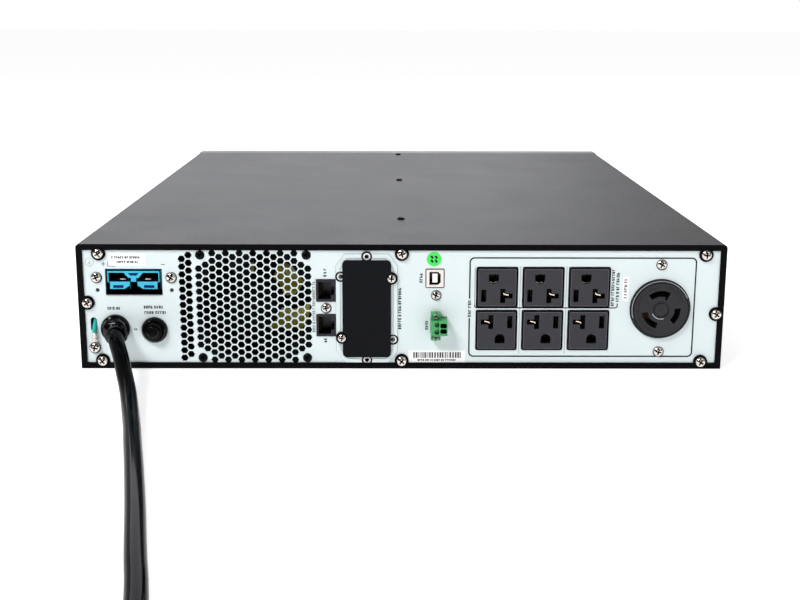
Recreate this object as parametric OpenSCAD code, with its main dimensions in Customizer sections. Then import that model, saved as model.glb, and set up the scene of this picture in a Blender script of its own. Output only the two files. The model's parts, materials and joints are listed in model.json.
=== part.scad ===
// Two-unit rackmount uninterruptible power supply, rear service face towards -Y.
// The origin is the centre of the base, +Z is up and +X is to the right of the service face.

/* [Case] */
// Width of the case between the rack ears' faces
body_w = 438; // [436:1:442]
// Height of the case, two rack units less clearance
body_h = 86.5; // [86:0.5:88]
// Depth from the rear rim to the front of the bezel
body_d = 580; // [560:10:640]
// Thickness of the steel sheet
sheet = 1.2; // [1:0.1:1.5]
// Depth of the moulded front bezel
bezel_d = 22; // [20:1:26]
// Width of the rim folded in around the rear panel
rim_w = 4.2; // [3.5:0.1:5]
// Radius of the bends along the top of the cover
bend_r = 2.5; // [2:0.1:3]
// Radius of the rim's round screw tabs
tab_r = 4.8; // [4.5:0.1:5.2]

/* [Rear grille] */
// Distance across the corners of a hexagonal vent hole
vent_across = 5.2; // [4.4:0.1:5.2]
// Vertical distance between vent holes in one column
vent_pitch = 5.3; // [5.2:0.05:5.6]
// Distance between neighbouring columns of vent holes
vent_step = 4.6; // [4.5:0.05:5]

/* [Fan] */
// Outside width of the square fan frame
fan_w = 80; // [80:1:80]
// Depth of the fan frame
fan_d = 25; // [20:1:38]
// Distance between neighbouring fan screws
fan_pitch = 71.5; // [71:0.5:72]
// Number of fan blades
fan_blades = 7; // [5:1:9]

/* [Outlets] */
// Width and height of a straight-blade outlet face
outlet_w = 27.2; // [26:0.1:28]
// Distance between outlet columns
outlet_step = 31.3; // [30:0.1:33]
// Diameter of the locking outlet's face
locking_d = 40.3; // [40:0.1:42]

/* [Battery drawer] */
// Width of one battery
battery_w = 94; // [92:1:94]
// Length of one battery
battery_l = 151; // [149:1:151]
// Height of one battery
battery_h = 65; // [60:1:70]

/* [Input cord] */
// Outside diameter of the cord
cord_d = 10.5; // [10:0.1:11]
// Radius of the coil's outermost centreline
coil_r_out = 76; // [76:1:78]
// Radius of the coil's innermost centreline
coil_r_in = 44; // [44:1:46]

/* [Hidden] */
$fn = 48;
fan_place = [-100.3, 43.4];
battery_place = [-181, 60.2];
breaker_place = [-168.2, 27.1];
gland_place = [-194.6, 28];
ground_place = [-209.1, 14.9];
jack_x = -51.4;
jack_z = [54.6, 30.4];
slot_place = [-23.75, 42];
usb_place = [22.4, 63.1];
epo_place = [25.2, 30.9];
locking_place = [175.7, 42.1];
outlet_x = 64.5;
outlet_z = [56.9, 27.1];
button_x = [-187, -167, -147, -127];
button_z = 18;
window_place = [-157, 50];

half_w = body_w / 2;
rear_y = -body_d / 2;
front_y = body_d / 2;
cover_front_y = front_y - bezel_d;
cover_z = body_h - sheet;
panel_y = rear_y + sheet;
panel_back = panel_y + sheet;
gap = 0.2;
eps = 0.01;

// Heights of the left and right seams between the tray's rim and the cover's.
seam_z = [40.8, 43.8];
flange_h = 14;

screw_r = 2;
screw_hole_r = 2.2;
small_screw_r = 1.5;
small_hole_r = 1.7;

rim_screws = [
    [-203.9, 80], [0, 80], [205, 79.6], [-212.8, 46], [213.8, 38.6], [-204.3, 5.5], [0, 5.5], [204.9, 5]];
cover_screw_y = [-185, 37, 250];
battery_screws = [[-206.2, 63.5], [-155.8, 63.5]];
battery_lock_holes = [[-205.7, 54.6], [-155.6, 54.6]];
locking_screws = [[175.4, 72.8], [175.8, 12.1]];
fan_screw_places = [for (sx = [-1, 1], sz = [-1, 1]) fan_place + [sx, sz] * fan_pitch / 2];
slot_ears = [[-7, 63.3], [-40.7, 22]];
slot_emboss = 0.8;
slot_nut_places = concat([for (s = [-1, 1]) slot_place + [0, s * 36]], [[-41.4, 64.2], [-5.9, 20.4]]);
slot_nut_r = 2.9;
cage_size = [27.2, 62];
cage_d = 128;

drawer_x = [-97, 193];
drawer_y = [-39, 268];
drawer_floor_z = sheet + 0.4;
divider_x = -98.4;
divider_y = -42;
front_split_x = -98;
dock_low = [36, -54, 24];
dock_high = [64, -44, 40];
board_z = 8;
board_y = [-256, -52];

// Centre of the coil on the surface, and the cord's route from the gland to the coil.
coil_c = [-28, rear_y - 490];
coil_layers = 2;
cord_r = cord_d / 2;
cord_lie = cord_r + 0.05;
cord_route = [
    [-194.6, -292, 27.2], [-189.4, -312, 25], [-183, -331, 20.4], [-177, -350, 14.8],
    [-171.1, -369, 9.8], [-166.2, -388, 6.8], [-161.4, -408, 5.5], [-156.3, -430, cord_lie],
    [-150.9, -455, cord_lie], [-145.4, -480, cord_lie], [-140, -505, cord_lie], [-134.7, -530, cord_lie],
    [-129.3, -556, cord_lie], [-124.1, -582, cord_lie], [-118.8, -608, cord_lie], [-113.5, -633, cord_lie],
    [-109, -658, cord_lie], [-106, -683, cord_lie], [-104.7, -708, cord_lie], [-104, -733, cord_lie],
    [-104, -757, cord_lie], [-104, -780, cord_lie]];
tail_route = [
    [-28, -856, 15.8], [-10, -856, 16.4], [8, -856, 18.6],
    [24, -856, 21.8], [38, -856, 24.4], [50, -856, 25.4]];
plug_end = [50, -856, 25.4];
plug_r = 25;
plug_l = 84;

// ---------- shared shapes ----------

// Rectangle with round corners, centred.
module round_rect(w, h, r) {
    square([w - 2 * r, h], center = true);
    square([w, h - 2 * r], center = true);
    for (sx = [-1, 1], sz = [-1, 1])
        translate([sx * (w / 2 - r), sz * (h / 2 - r)]) circle(r);
}

// Rectangle with cut corners, centred.
module cut_rect(w, h, cx, cz) {
    polygon([[-w / 2 + cx, -h / 2], [w / 2 - cx, -h / 2], [w / 2, -h / 2 + cz], [w / 2, h / 2 - cz],
             [w / 2 - cx, h / 2], [-w / 2 + cx, h / 2], [-w / 2, h / 2 - cz], [-w / 2, -h / 2 + cz]]);
}

// Places children on the service face: their XY is the face's XZ and their +Z points out of it.
module on_rear(place, y = panel_y) {
    translate([place[0], y, place[1]]) rotate([90, 0, 0]) children();
}

// Box given by its low and high corners.
module block(low, high) {
    translate(low) cube(high - low);
}

// Pan-head screw pointing along -Z with a cross recess; z = 0 is under the head.
module pan_screw(r, head_r, head_h, length) {
    difference() {
        union() {
            translate([0, 0, -length]) cylinder(r = r, h = length + eps);
            cylinder(r = head_r, h = head_h * 0.45);
            translate([0, 0, head_h * 0.45]) cylinder(r1 = head_r, r2 = head_r * 0.62, h = head_h * 0.55);
        }
        for (a = [0, 90])
            rotate([0, 0, a])
                translate([-head_r * 0.5, -head_r * 0.11, head_h * 0.4])
                    cube([head_r, head_r * 0.22, head_h]);
    }
}

// Row of slots cut along Y in a side wall.
module side_slots(y_start, count, pitch, z_low, slot_h) {
    for (i = [0 : count - 1])
        translate([-half_w - 1, y_start + i * pitch, z_low]) cube([body_w + 2, 3, slot_h]);
}

// ---------- case ----------

ear_hole_r = 2.1;
ear_centre = [246, 43.25];
ear_spacing = [30, 50];

// Outline of the case seen from the back, with round top corners, inset at the sides and the top.
module case_outline(inset, r) {
    w = body_w - 2 * inset;
    h = body_h - inset;
    translate([-w / 2, 0]) square([w, h - r]);
    translate([-w / 2 + r, 0]) square([w - 2 * r, h]);
    for (s = [-1, 1]) translate([s * (w / 2 - r), h - r]) circle(r);
}

module rim_outline() {
    difference() {
        case_outline(0, bend_r);
        translate([-half_w + rim_w, rim_w]) square([body_w - 2 * rim_w, body_h - 2 * rim_w]);
    }
}

// Part of the rear face that belongs to the cover; drop lowers its bottom edge.
module above_seams(drop = 0) {
    translate([-body_w, seam_z[0] - drop]) square([body_w, body_h]);
    translate([0, seam_z[1] - drop]) square([body_w, body_h]);
}

module ear_holes() {
    for (y = [-1, 1], z = [-1, 1])
        translate([0, ear_centre[0] + y * ear_spacing[0] / 2, ear_centre[1] + z * ear_spacing[1] / 2])
            rotate([0, 90, 0]) cylinder(r = ear_hole_r, h = body_w + 2, center = true);
}

module rim_tabs(numbers) {
    for (i = numbers) on_rear(rim_screws[i]) cylinder(r = tab_r, h = sheet);
}

module rim_tab_holes(numbers) {
    for (i = numbers) on_rear(rim_screws[i], panel_y + 1) cylinder(r = screw_hole_r, h = 3);
}

module base_tray() {
    color([0.09, 0.09, 0.1])
    difference() {
        union() {
            block([-half_w, rear_y, 0], [half_w, cover_front_y, sheet]);
            on_rear([0, 0]) linear_extrude(sheet)
                difference() {
                    rim_outline();
                    above_seams(gap);
                }
            for (s = [-1, 1])
                translate([s * (half_w - 1.5 * sheet - gap) - sheet / 2, panel_back + gap, 0])
                    cube([sheet, cover_front_y - panel_back - gap, flange_h]);
            rim_tabs([4 : 7]);
        }
        rim_tab_holes([4 : 7]);
    }
}

module top_cover() {
    color([0.09, 0.09, 0.1])
    difference() {
        union() {
            difference() {
                on_rear([0, 0], cover_front_y) linear_extrude(cover_front_y - rear_y)
                    difference() {
                        case_outline(0, bend_r);
                        case_outline(sheet, bend_r - sheet);
                    }
                // Room for the tray's floor and for its part of the rim
                block([-half_w - 1, rear_y - 1, -1], [half_w + 1, front_y, sheet + gap]);
                block([-half_w - 1, rear_y - 1, -1], [0, panel_y + gap, seam_z[0]]);
                block([0, rear_y - 1, -1], [half_w + 1, panel_y + gap, seam_z[1]]);
            }
            on_rear([0, 0]) linear_extrude(sheet)
                intersection() {
                    rim_outline();
                    above_seams();
                }
            rim_tabs([0 : 3]);
        }
        rim_tab_holes([0 : 3]);
        for (y = cover_screw_y) translate([0, y, cover_z - 1]) cylinder(r = small_hole_r, h = 3);
        ear_holes();
        side_slots(-250, 22, 8, 30, 30);
        side_slots(60, 14, 8, 52, 20);
    }
}

module cover_rail() {
    rail_w = 16;
    rail_h = 3;
    color([0.7, 0.71, 0.72])
    difference() {
        block([-rail_w / 2, panel_back + 12, cover_z - rail_h], [rail_w / 2, cover_front_y - 2, cover_z]);
        block([-rail_w / 2 + 1, panel_back + 11, cover_z - rail_h - 1],
              [rail_w / 2 - 1, cover_front_y - 1, cover_z - 1.5]);
        for (y = cover_screw_y) translate([0, y, cover_z - 5]) cylinder(r = small_hole_r, h = 6);
    }
}

// Hexagonal vent holes: each entry is [x of the column, z of its middle, number of holes].
vent_columns = concat(
    [[-148.4, 41.7, 14], [-143.9, 44.3, 14]],
    [for (i = [-8 : 8]) [fan_place[0] + i * vent_step, 43, i % 2 == 0 ? 15 : 14]]);

function near_fan_screw(p) = min([for (s = fan_screw_places) norm(p - s)]) < 7;

module vent_holes() {
    for (c = vent_columns, k = [0 : c[2] - 1]) {
        p = [c[0], c[1] + (k - (c[2] - 1) / 2) * vent_pitch];
        if (!near_fan_screw(p)) translate(p) circle(r = vent_across / 2, $fn = 6);
    }
}

module panel_outline() {
    inset = sheet + gap;
    intersection() {
        case_outline(inset, bend_r - inset);
        translate([-half_w, inset]) square([body_w, body_h]);
    }
}

// Everything cut through both the panel and the raised border of the card slot.
module slot_holes() {
    translate(slot_place) square(cage_size, center = true);
    for (p = slot_ears) translate(p) circle(small_hole_r);
}

module rear_panel() {
    color([0.9, 0.93, 0.95]) {
        on_rear([0, 0], panel_back)
        linear_extrude(sheet)
        difference() {
            panel_outline();
            vent_holes();
            slot_holes();
            for (p = rim_screws) translate(p) circle(screw_hole_r);
            for (p = fan_screw_places) translate(p) circle(screw_hole_r);
            translate(battery_place) square([38.4, 18.4], center = true);
            for (p = battery_screws) translate(p) circle(screw_hole_r);
            for (p = battery_lock_holes) translate(p) circle(1.4);
            translate(gland_place) circle(8.2);
            translate(breaker_place) circle(6.2);
            translate(ground_place) circle(screw_hole_r);
            translate([-209.3, 30.9]) round_rect(4.5, 9.6, 2.2);
            for (z = jack_z) translate([jack_x, z]) square([13.6, 15.8], center = true);
            translate([jack_x, (jack_z[0] + jack_z[1]) / 2]) circle(small_hole_r);
            for (p = slot_nut_places) translate(p) circle(slot_nut_r + 0.1);
            translate(usb_place) square([11.9, 12.5], center = true);
            translate([23.2, 51.5]) circle(small_hole_r);
            translate(epo_place) square([11.4, 11], center = true);
            for (p = outlet_places) translate(p) square(outlet_w + 0.9, center = true);
            translate(locking_place) circle(locking_d / 2 + 0.3);
            for (p = locking_screws) translate(p) circle(small_hole_r);
        }
        on_rear([0, 0], panel_y + eps)
        linear_extrude(slot_emboss + eps)
        difference() {
            translate(slot_place) cut_rect(41.6, 75.4, 6, 8);
            slot_holes();
            for (p = slot_nut_places) translate(p) circle(3.7);
        }
    }
}

module bay_divider() {
    color([0.7, 0.71, 0.72])
    difference() {
        union() {
            block([divider_x - sheet, divider_y - sheet, sheet],
                  [half_w - 2 * (sheet + gap), divider_y, 80]);
            block([divider_x - sheet, divider_y - sheet, sheet], [divider_x, cover_front_y, 80]);
        }
        // Opening for the drawer's power connector
        block(dock_low - [3, -5, 3], dock_high + [3, 5, 3]);
    }
}

module rear_screws() {
    color([0.82, 0.82, 0.83]) {
        for (p = rim_screws) on_rear(p, rear_y) pan_screw(screw_r, 3.5, 2.4, 6);
        for (p = battery_screws) on_rear(p) pan_screw(screw_r, 3.5, 2.4, 5);
        for (p = locking_screws) on_rear(p) pan_screw(small_screw_r, 3.4, 2.2, 5);
        on_rear([jack_x, (jack_z[0] + jack_z[1]) / 2]) pan_screw(small_screw_r, 3.3, 2.2, 5);
        on_rear([23.2, 51.5]) pan_screw(small_screw_r, 3.2, 2.2, 5);
    }
}

module cover_screws() {
    color([0.12, 0.12, 0.13])
    for (y = cover_screw_y) translate([0, y, body_h]) pan_screw(small_screw_r, 2.9, 1.6, 5);
}

// ---------- fan ----------

fan_bore_r = 37.6;
fan_hub_r = 18;

module fan_ring() {
    difference() {
        round_rect(fan_w, fan_w, 4);
        circle(fan_bore_r, $fn = 96);
        for (sx = [-1, 1], sz = [-1, 1]) translate([sx, sz] * fan_pitch / 2) circle(2.15);
    }
}

module fan_frame() {
    strut_d = 2.5;
    color([0.1, 0.1, 0.11])
    on_rear(fan_place, panel_back)
    translate([0, 0, -fan_d]) {
        linear_extrude(strut_d) {
            fan_ring();
            circle(fan_hub_r);
            for (a = [0 : 90 : 270])
                rotate(a) translate([fan_hub_r - 1, -2]) square([fan_bore_r - fan_hub_r + 2, 4]);
        }
        translate([0, 0, strut_d]) linear_extrude(fan_d - strut_d) fan_ring();
    }
}

module fan_rotor() {
    blade_h = 17;
    color([0.14, 0.14, 0.15])
    on_rear(fan_place, panel_back)
    translate([0, 0, -fan_d + 3.2]) {
        cylinder(r = fan_hub_r - 0.5, h = 20.5);
        intersection() {
            translate([0, 0, 1.5]) cylinder(r = fan_bore_r - 1.2, h = blade_h, $fn = 96);
            for (i = [0 : fan_blades - 1])
                rotate([0, 0, i * 360 / fan_blades])
                    translate([fan_hub_r - 3, 0, 10]) rotate([38, 0, 0]) translate([0, -13, -0.8])
                        cube([fan_bore_r, 26, 1.6]);
        }
    }
}

module fan_screws() {
    color([0.1, 0.1, 0.1])
    for (p = fan_screw_places) on_rear(p) pan_screw(screw_r, 2.8, 1.8, 12);
}

// ---------- battery pack connector, breaker and ground ----------

module battery_connector() {
    color([0.1, 0.55, 0.7])
    on_rear(battery_place)
    difference() {
        union() {
            translate([0, 0, -34]) linear_extrude(34.6) square([36.6, 16.8], center = true);
            translate([0, 0, -sheet - 2.2]) linear_extrude(2.2) square([56.4, 19], center = true);
        }
        // Cavities, the step below the two shelves and the notch between them run right through
        translate([0, 0, -40]) linear_extrude(60) {
            for (s = [-1, 1]) translate([s * 9.3, 3.4]) square([15, 6.2], center = true);
            translate([0, -6.6]) square([40, 3.8], center = true);
            translate([0, -3.2]) square([5, 7], center = true);
        }
        for (p = battery_screws) translate([p[0], p[1], 0] - [battery_place[0], battery_place[1], 8])
            cylinder(r = screw_hole_r, h = 10);
    }
}

module battery_contacts() {
    color([0.75, 0.5, 0.3])
    on_rear(battery_place)
    for (s = [-1, 1]) translate([s * 9.3 - 4.5, 0.3, -22]) cube([9, 1, 17]);
}

module breaker_body() {
    color([0.12, 0.12, 0.13])
    on_rear(breaker_place) {
        difference() {
            union() {
                translate([0, 0, -34]) linear_extrude(34 - sheet) square([15, 30], center = true);
                translate([0, 0, -sheet - eps]) cylinder(r = 6, h = 6 + sheet);
            }
            translate([0, 0, -10]) cylinder(r = 4.4, h = 20);
        }
    }
}

module breaker_nut() {
    color([0.16, 0.16, 0.17])
    on_rear(breaker_place)
    difference() {
        union() {
            cylinder(r = 8.6, h = 4.2);
            for (i = [0 : 23]) rotate([0, 0, i * 15]) translate([8, -0.5, 0.4]) cube([1.1, 1, 3.4]);
        }
        translate([0, 0, -1]) cylinder(r = 6.1, h = 8);
    }
}

module breaker_button() {
    color([0.08, 0.08, 0.09])
    on_rear(breaker_place, panel_y)
    union() {
        translate([0, 0, -9]) cylinder(r = 4.2, h = 16);
        translate([0, 0, 7]) cylinder(r1 = 4.2, r2 = 3.4, h = 0.8);
    }
}

module ground_screw() {
    color([0.82, 0.82, 0.83])
    on_rear(ground_place, panel_y - 1.5) pan_screw(screw_r, 3.6, 2.4, 7);
}

// Short insulated wire out of the slot above, crimped to a ring lug under the ground screw.
module ground_wire() {
    drop_x = -208.8;
    wire_route = [[0, 40, -4], [0, 36, -4], [0, 33, -2.8], [0, 30.5, -0.6], [0, 28, 1.4], [0, 25, 2]];
    lug_t = 1.5;
    color([0.1, 0.55, 0.45])
    on_rear([drop_x, 0]) swept_tube(wire_route, 1.5, 16);
    color([0.8, 0.7, 0.4]) {
        on_rear([drop_x, 0]) translate([0, 25.6, 2]) rotate([90, 0, 0]) cylinder(r = 1.9, h = 6.4);
        difference() {
            union() {
                on_rear(ground_place) cylinder(r = 3.9, h = lug_t);
                on_rear(ground_place) translate([-1.7, 0, 0]) cube([3.4, 5.5, lug_t]);
            }
            on_rear(ground_place, panel_y + 1) cylinder(r = screw_hole_r, h = 4);
        }
    }
}

// ---------- data ports ----------

// Modular jack lying on its side, with the latch notch to the right.
module modular_jack(z) {
    color([0.13, 0.13, 0.14])
    on_rear([jack_x, z])
    difference() {
        translate([0, 0, -18]) linear_extrude(18.6) square([13.2, 15.4], center = true);
        translate([-0.9, 0, -13]) linear_extrude(15) square([8.4, 11.9], center = true);
        translate([4.3, 0, -13]) linear_extrude(15) square([2.6, 6], center = true);
    }
}

module jack_contacts() {
    color([0.85, 0.7, 0.3])
    for (z = jack_z) on_rear([jack_x, z])
        for (i = [-3.5 : 3.5]) translate([-5.1, i * 1.1 - 0.2, -12.9]) cube([1.7, 0.4, 10]);
}

module slot_cover() {
    color([0.06, 0.06, 0.07])
    on_rear(slot_place, panel_y - slot_emboss)
    difference() {
        linear_extrude(1.5) {
            round_rect(32.9, 67.4, 3);
            for (p = slot_ears) translate(p - slot_place) circle(4.2);
        }
        for (p = slot_ears) translate([p[0] - slot_place[0], p[1] - slot_place[1], -1])
            cylinder(r = small_hole_r, h = 4);
    }
}

module slot_screws() {
    color([0.82, 0.82, 0.83])
    for (p = slot_ears) on_rear(p, panel_y - slot_emboss - 1.5) pan_screw(small_screw_r, 3, 2, 6);
}

module slot_nuts() {
    color([0.82, 0.82, 0.83])
    for (p = slot_nut_places) on_rear(p)
        difference() {
            translate([0, 0, -7]) cylinder(r = slot_nut_r, h = 7);
            translate([0, 0, -8]) cylinder(r = 1.5, h = 10);
        }
}

module card_cage() {
    wall = 0.8;
    color([0.7, 0.71, 0.72])
    on_rear(slot_place, panel_back)
    translate([0, 0, -cage_d])
    linear_extrude(cage_d)
    difference() {
        square(cage_size + [2, 2] * wall, center = true);
        square(cage_size, center = true);
    }
}

module card_connector() {
    color([0.12, 0.12, 0.13])
    on_rear(slot_place, panel_back)
    difference() {
        translate([-6, -25, -cage_d]) cube([9, 50, 10]);
        translate([-2.4, -23, -cage_d + 2]) cube([1.8, 46, 12]);
    }
}

// Square USB socket turned on its side, with the chamfered corners of its opening to the right.
module usb_port() {
    color([0.85, 0.85, 0.86])
    on_rear(usb_place)
    difference() {
        translate([0, 0, -15]) linear_extrude(15.4) square([11.6, 12.1], center = true);
        translate([0, 0, -11]) linear_extrude(14)
            polygon([[-3.8, -4.45], [2, -4.45], [3.8, -2.8], [3.8, 2.8], [2, 4.45], [-3.8, 4.45]]);
    }
    color([0.95, 0.95, 0.93])
    on_rear(usb_place) translate([-1.6, -2.7, -11 - eps]) cube([3.2, 5.4, 9]);
}

// ---------- emergency power-off terminal ----------

module epo_socket() {
    color([0.2, 0.62, 0.35])
    on_rear(epo_place)
    difference() {
        translate([0, 0, -12]) linear_extrude(12.4) square([11, 10.6], center = true);
        translate([0, 0, -8]) linear_extrude(12) square([8.6, 8.2], center = true);
    }
    color([0.8, 0.78, 0.7])
    on_rear(epo_place)
    for (s = [-1, 1]) translate([-0.5, s * 2.5 - 0.5, -8.1]) cube([1, 1, 6]);
}

module epo_plug() {
    color([0.2, 0.62, 0.35])
    on_rear(epo_place)
    difference() {
        union() {
            translate([0, 0, -6.5]) linear_extrude(8) square([8.2, 7.8], center = true);
            translate([0, 0, 0.8]) linear_extrude(11) square([11, 10.2], center = true);
            translate([-2.2, 0, 0.8]) linear_extrude(6) square([6.6, 18.8], center = true);
        }
        for (s = [-1, 1]) {
            translate([-0.7, s * 2.5 - 0.7, -7]) cube([1.4, 1.4, 8.4]);
            translate([0, s * 2.5, 6.5]) rotate([0, 90, 0]) cylinder(r = 1.6, h = 8);
            translate([-1.6, s * 2.5, 9]) cylinder(r = 1.7, h = 4);
            translate([-2.2, s * 7.3, 0]) cylinder(r = 1.1, h = 8);
        }
    }
}

// ---------- outlets ----------

outlet_places = [for (z = outlet_z, i = [0 : 2]) [outlet_x + i * outlet_step, z]];
ground_hole = [-2.4, 5.9];
plain_slot = [-9.05, -5.7];
tee_slot = [3.9, -5.8];
tee_branch = [7.9, -5.8];
slot_depth = 14;

// Holes of one outlet; grow makes them larger or smaller for the contacts inside.
module outlet_holes(grow = 0) {
    translate(ground_hole) circle(3.4 + grow);
    translate(ground_hole + [-3.4 - grow, 0]) square([6.8 + 2 * grow, 3.2 + grow]);
    translate(plain_slot) square([3.5 + 2 * grow, 8.6 + 2 * grow], center = true);
    translate(tee_slot) square([3.4 + 2 * grow, 9.8 + 2 * grow], center = true);
    translate(tee_branch) square([5.4 + 2 * grow, 3.5 + 2 * grow], center = true);
}

// Places children on outlet number i; the lower row is turned upside down.
module at_outlet(i) {
    on_rear(outlet_places[i - 1]) rotate([0, 0, i > 3 ? 180 : 0]) children();
}

module outlet(i) {
    color([0.17, 0.17, 0.2])
    at_outlet(i)
    difference() {
        translate([0, 0, -26]) linear_extrude(27) round_rect(outlet_w, outlet_w, 1.2);
        translate([0, 0, 1 - slot_depth]) linear_extrude(slot_depth + 1) outlet_holes();
    }
}

module outlet_contacts() {
    contact_h = 6;
    color([0.8, 0.65, 0.3])
    for (i = [1 : 6]) at_outlet(i)
        translate([0, 0, 1 - slot_depth]) linear_extrude(contact_h)
        difference() {
            outlet_holes();
            outlet_holes(-0.7);
        }
}

locking_angles = [96.7, 223.4, 339];
locking_arcs = [69, 68, 53];
locking_slot_r = 11.2;
locking_slot_w = 4;
locking_face = 3.6;

// Sector of a ring between radii a and b, spanning arc degrees around angle middle.
module ring_sector(a, b, middle, arc, low, high) {
    rotate([0, 0, middle - arc / 2])
        rotate_extrude(angle = arc)
            translate([a, low]) square([b - a, high - low]);
}

// Curved slots of the locking outlet, the first with a foot, from low to high along the axis.
module locking_slots(low, high, grow = 0) {
    half = locking_slot_w / 2 + grow;
    for (i = [0 : 2])
        ring_sector(locking_slot_r - half, locking_slot_r + half, locking_angles[i],
                    locking_arcs[i] + 5 * grow, low, high);
}

module locking_outlet() {
    color([0.17, 0.17, 0.2])
    on_rear(locking_place)
    difference() {
        union() {
            translate([0, 0, -30]) cylinder(r = locking_d / 2, h = 32, $fn = 96);
            cylinder(r = locking_d / 2 - 1.25, h = locking_face, $fn = 96);
            translate([0, 0, -sheet - 2.4]) linear_extrude(2.4) round_rect(20, 68, 5);
        }
        locking_slots(-12, 5);
        ring_sector(7.4, 9.3, locking_angles[0] - locking_arcs[0] / 2 + 5, 10, -12, 5);
        difference() {
            translate([0, 0, locking_face - 0.8]) cylinder(r = 5.1, h = 1);
            cylinder(r = 4.4, h = 4);
        }
        for (p = locking_screws) translate([p[0], p[1], 0] - [locking_place[0], locking_place[1], 6])
            cylinder(r = small_hole_r, h = 8);
    }
}

module locking_contacts() {
    color([0.8, 0.65, 0.3])
    on_rear(locking_place)
    difference() {
        locking_slots(-12, -3);
        locking_slots(-11, -2, -0.8);
    }
}

// ---------- input cord ----------

module strain_relief() {
    flange_r = 9.8;
    nose_r = 7.4;
    color([0.06, 0.06, 0.07])
    on_rear(gland_place)
    difference() {
        union() {
            translate([0, 0, -12]) cylinder(r = 8, h = 12 + eps);
            cylinder(r = flange_r, h = 5);
            translate([0, 0, 5]) cylinder(r1 = flange_r, r2 = nose_r, h = 7);
        }
        translate([0, -1, -13]) cylinder(r = cord_r + 0.2, h = 30);
    }
}

function unit(v) = v / norm(v);
// Direction of the route at point i.
function route_dir(pts, i) = unit(pts[min(i + 1, len(pts) - 1)] - pts[max(i - 1, 0)]);
// Point j of the ring with n points around route point i.
function ring_point(pts, i, j, n, r) =
    let (d = route_dir(pts, i), side = unit(cross(d, [0, 0, 1])), up = cross(side, d), a = 360 * j / n)
    pts[i] + r * (cos(a) * side + sin(a) * up);

module swept_tube(pts, r, sides = 12) {
    last = len(pts) - 1;
    points = [for (i = [0 : last], j = [0 : sides - 1]) ring_point(pts, i, j, sides, r)];
    walls = [for (i = [0 : last - 1], j = [0 : sides - 1], half = [0, 1])
        let (a = i * sides + j, b = i * sides + (j + 1) % sides, c = a + sides, d = b + sides)
        half == 0 ? [a, b, d] : [a, d, c]];
    start_cap = [for (j = [1 : sides - 2]) [0, j + 1, j]];
    end_cap = [for (j = [1 : sides - 2]) [last * sides, last * sides + j, last * sides + j + 1]];
    polyhedron(points, concat(walls, start_cap, end_cap), convexity = 6);
}

module power_cord() {
    color([0.05, 0.05, 0.05]) swept_tube(cord_route, cord_r);
}

module cord_coil() {
    color([0.05, 0.05, 0.05])
    translate([coil_c[0], coil_c[1], 0])
    rotate_extrude()
    translate([coil_r_in - cord_r, 0])
        square([coil_r_out - coil_r_in + cord_d, coil_layers * cord_d + 0.3]);
}

module cord_tail() {
    color([0.05, 0.05, 0.05]) swept_tube(tail_route, cord_r);
}

module plug_body() {
    neck_l = 24;
    color([0.1, 0.1, 0.11])
    translate([plug_end[0], plug_end[1], plug_r + 0.1])
    rotate([0, 90, 0]) {
        cylinder(r1 = 9, r2 = 14, h = neck_l);
        translate([0, 0, neck_l]) cylinder(r = plug_r - 2, h = 26);
        translate([0, 0, neck_l + 26]) cylinder(r = plug_r, h = plug_l - neck_l - 26);
    }
}

module plug_blades() {
    blade_arc = 34;
    color([0.8, 0.65, 0.3])
    translate([plug_end[0] + plug_l, plug_end[1], plug_r + 0.1])
    rotate([0, 90, 0])
    for (a = locking_angles)
        ring_sector(locking_slot_r - 0.8, locking_slot_r + 0.8, a, blade_arc, 0, 18);
}

// ---------- front ----------

window_size = [70, 36];
bezel_wall = 3;
bezel_skin_y = front_y - bezel_wall;

module front_bezel() {
    lip = 2;
    color([0.08, 0.08, 0.09])
    difference() {
        block([-half_w, cover_front_y, 0], [half_w, front_y, body_h]);
        block([-half_w + lip, cover_front_y - 1, sheet],
              [front_split_x - lip, bezel_skin_y, body_h - lip]);
        block([front_split_x, cover_front_y - 1, sheet], [half_w - lip - 6, front_y + 1, body_h - lip]);
        translate([window_place[0], front_y + 1, window_place[1]]) rotate([90, 0, 0])
            linear_extrude(8) round_rect(window_size[0], window_size[1], 3);
        for (x = button_x)
            translate([x, front_y + 1, button_z]) rotate([90, 0, 0]) cylinder(r = 4.9, h = 8);
    }
}

module display_window() {
    color([0.3, 0.35, 0.4])
    translate([window_place[0], bezel_skin_y, window_place[1]]) rotate([90, 0, 0])
        linear_extrude(1.6) round_rect(window_size[0] + 5, window_size[1] + 5, 3);
}

module display_board() {
    board_back = front_y - 12;
    color([0.1, 0.35, 0.2]) block([-214, board_back, 6], [-103, board_back + 1.6, 80]);
    color([0.75, 0.8, 0.78])
    block([window_place[0] - 34, board_back + 1.6, window_place[1] - 17],
          [window_place[0] + 34, bezel_skin_y - 1.7, window_place[1] + 17]);
    color([0.15, 0.15, 0.15])
    for (x = button_x)
        block([x - 3, board_back + 1.6, button_z - 3], [x + 3, board_back + 5.8, button_z + 3]);
}

module front_button(x) {
    color([0.75, 0.76, 0.78])
    translate([x, front_y + 0.6, button_z]) rotate([90, 0, 0]) {
        cylinder(r = 4.5, h = 5.5);
        translate([0, 0, 3.9]) cylinder(r = 5.8, h = 1.4);
    }
}

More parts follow.
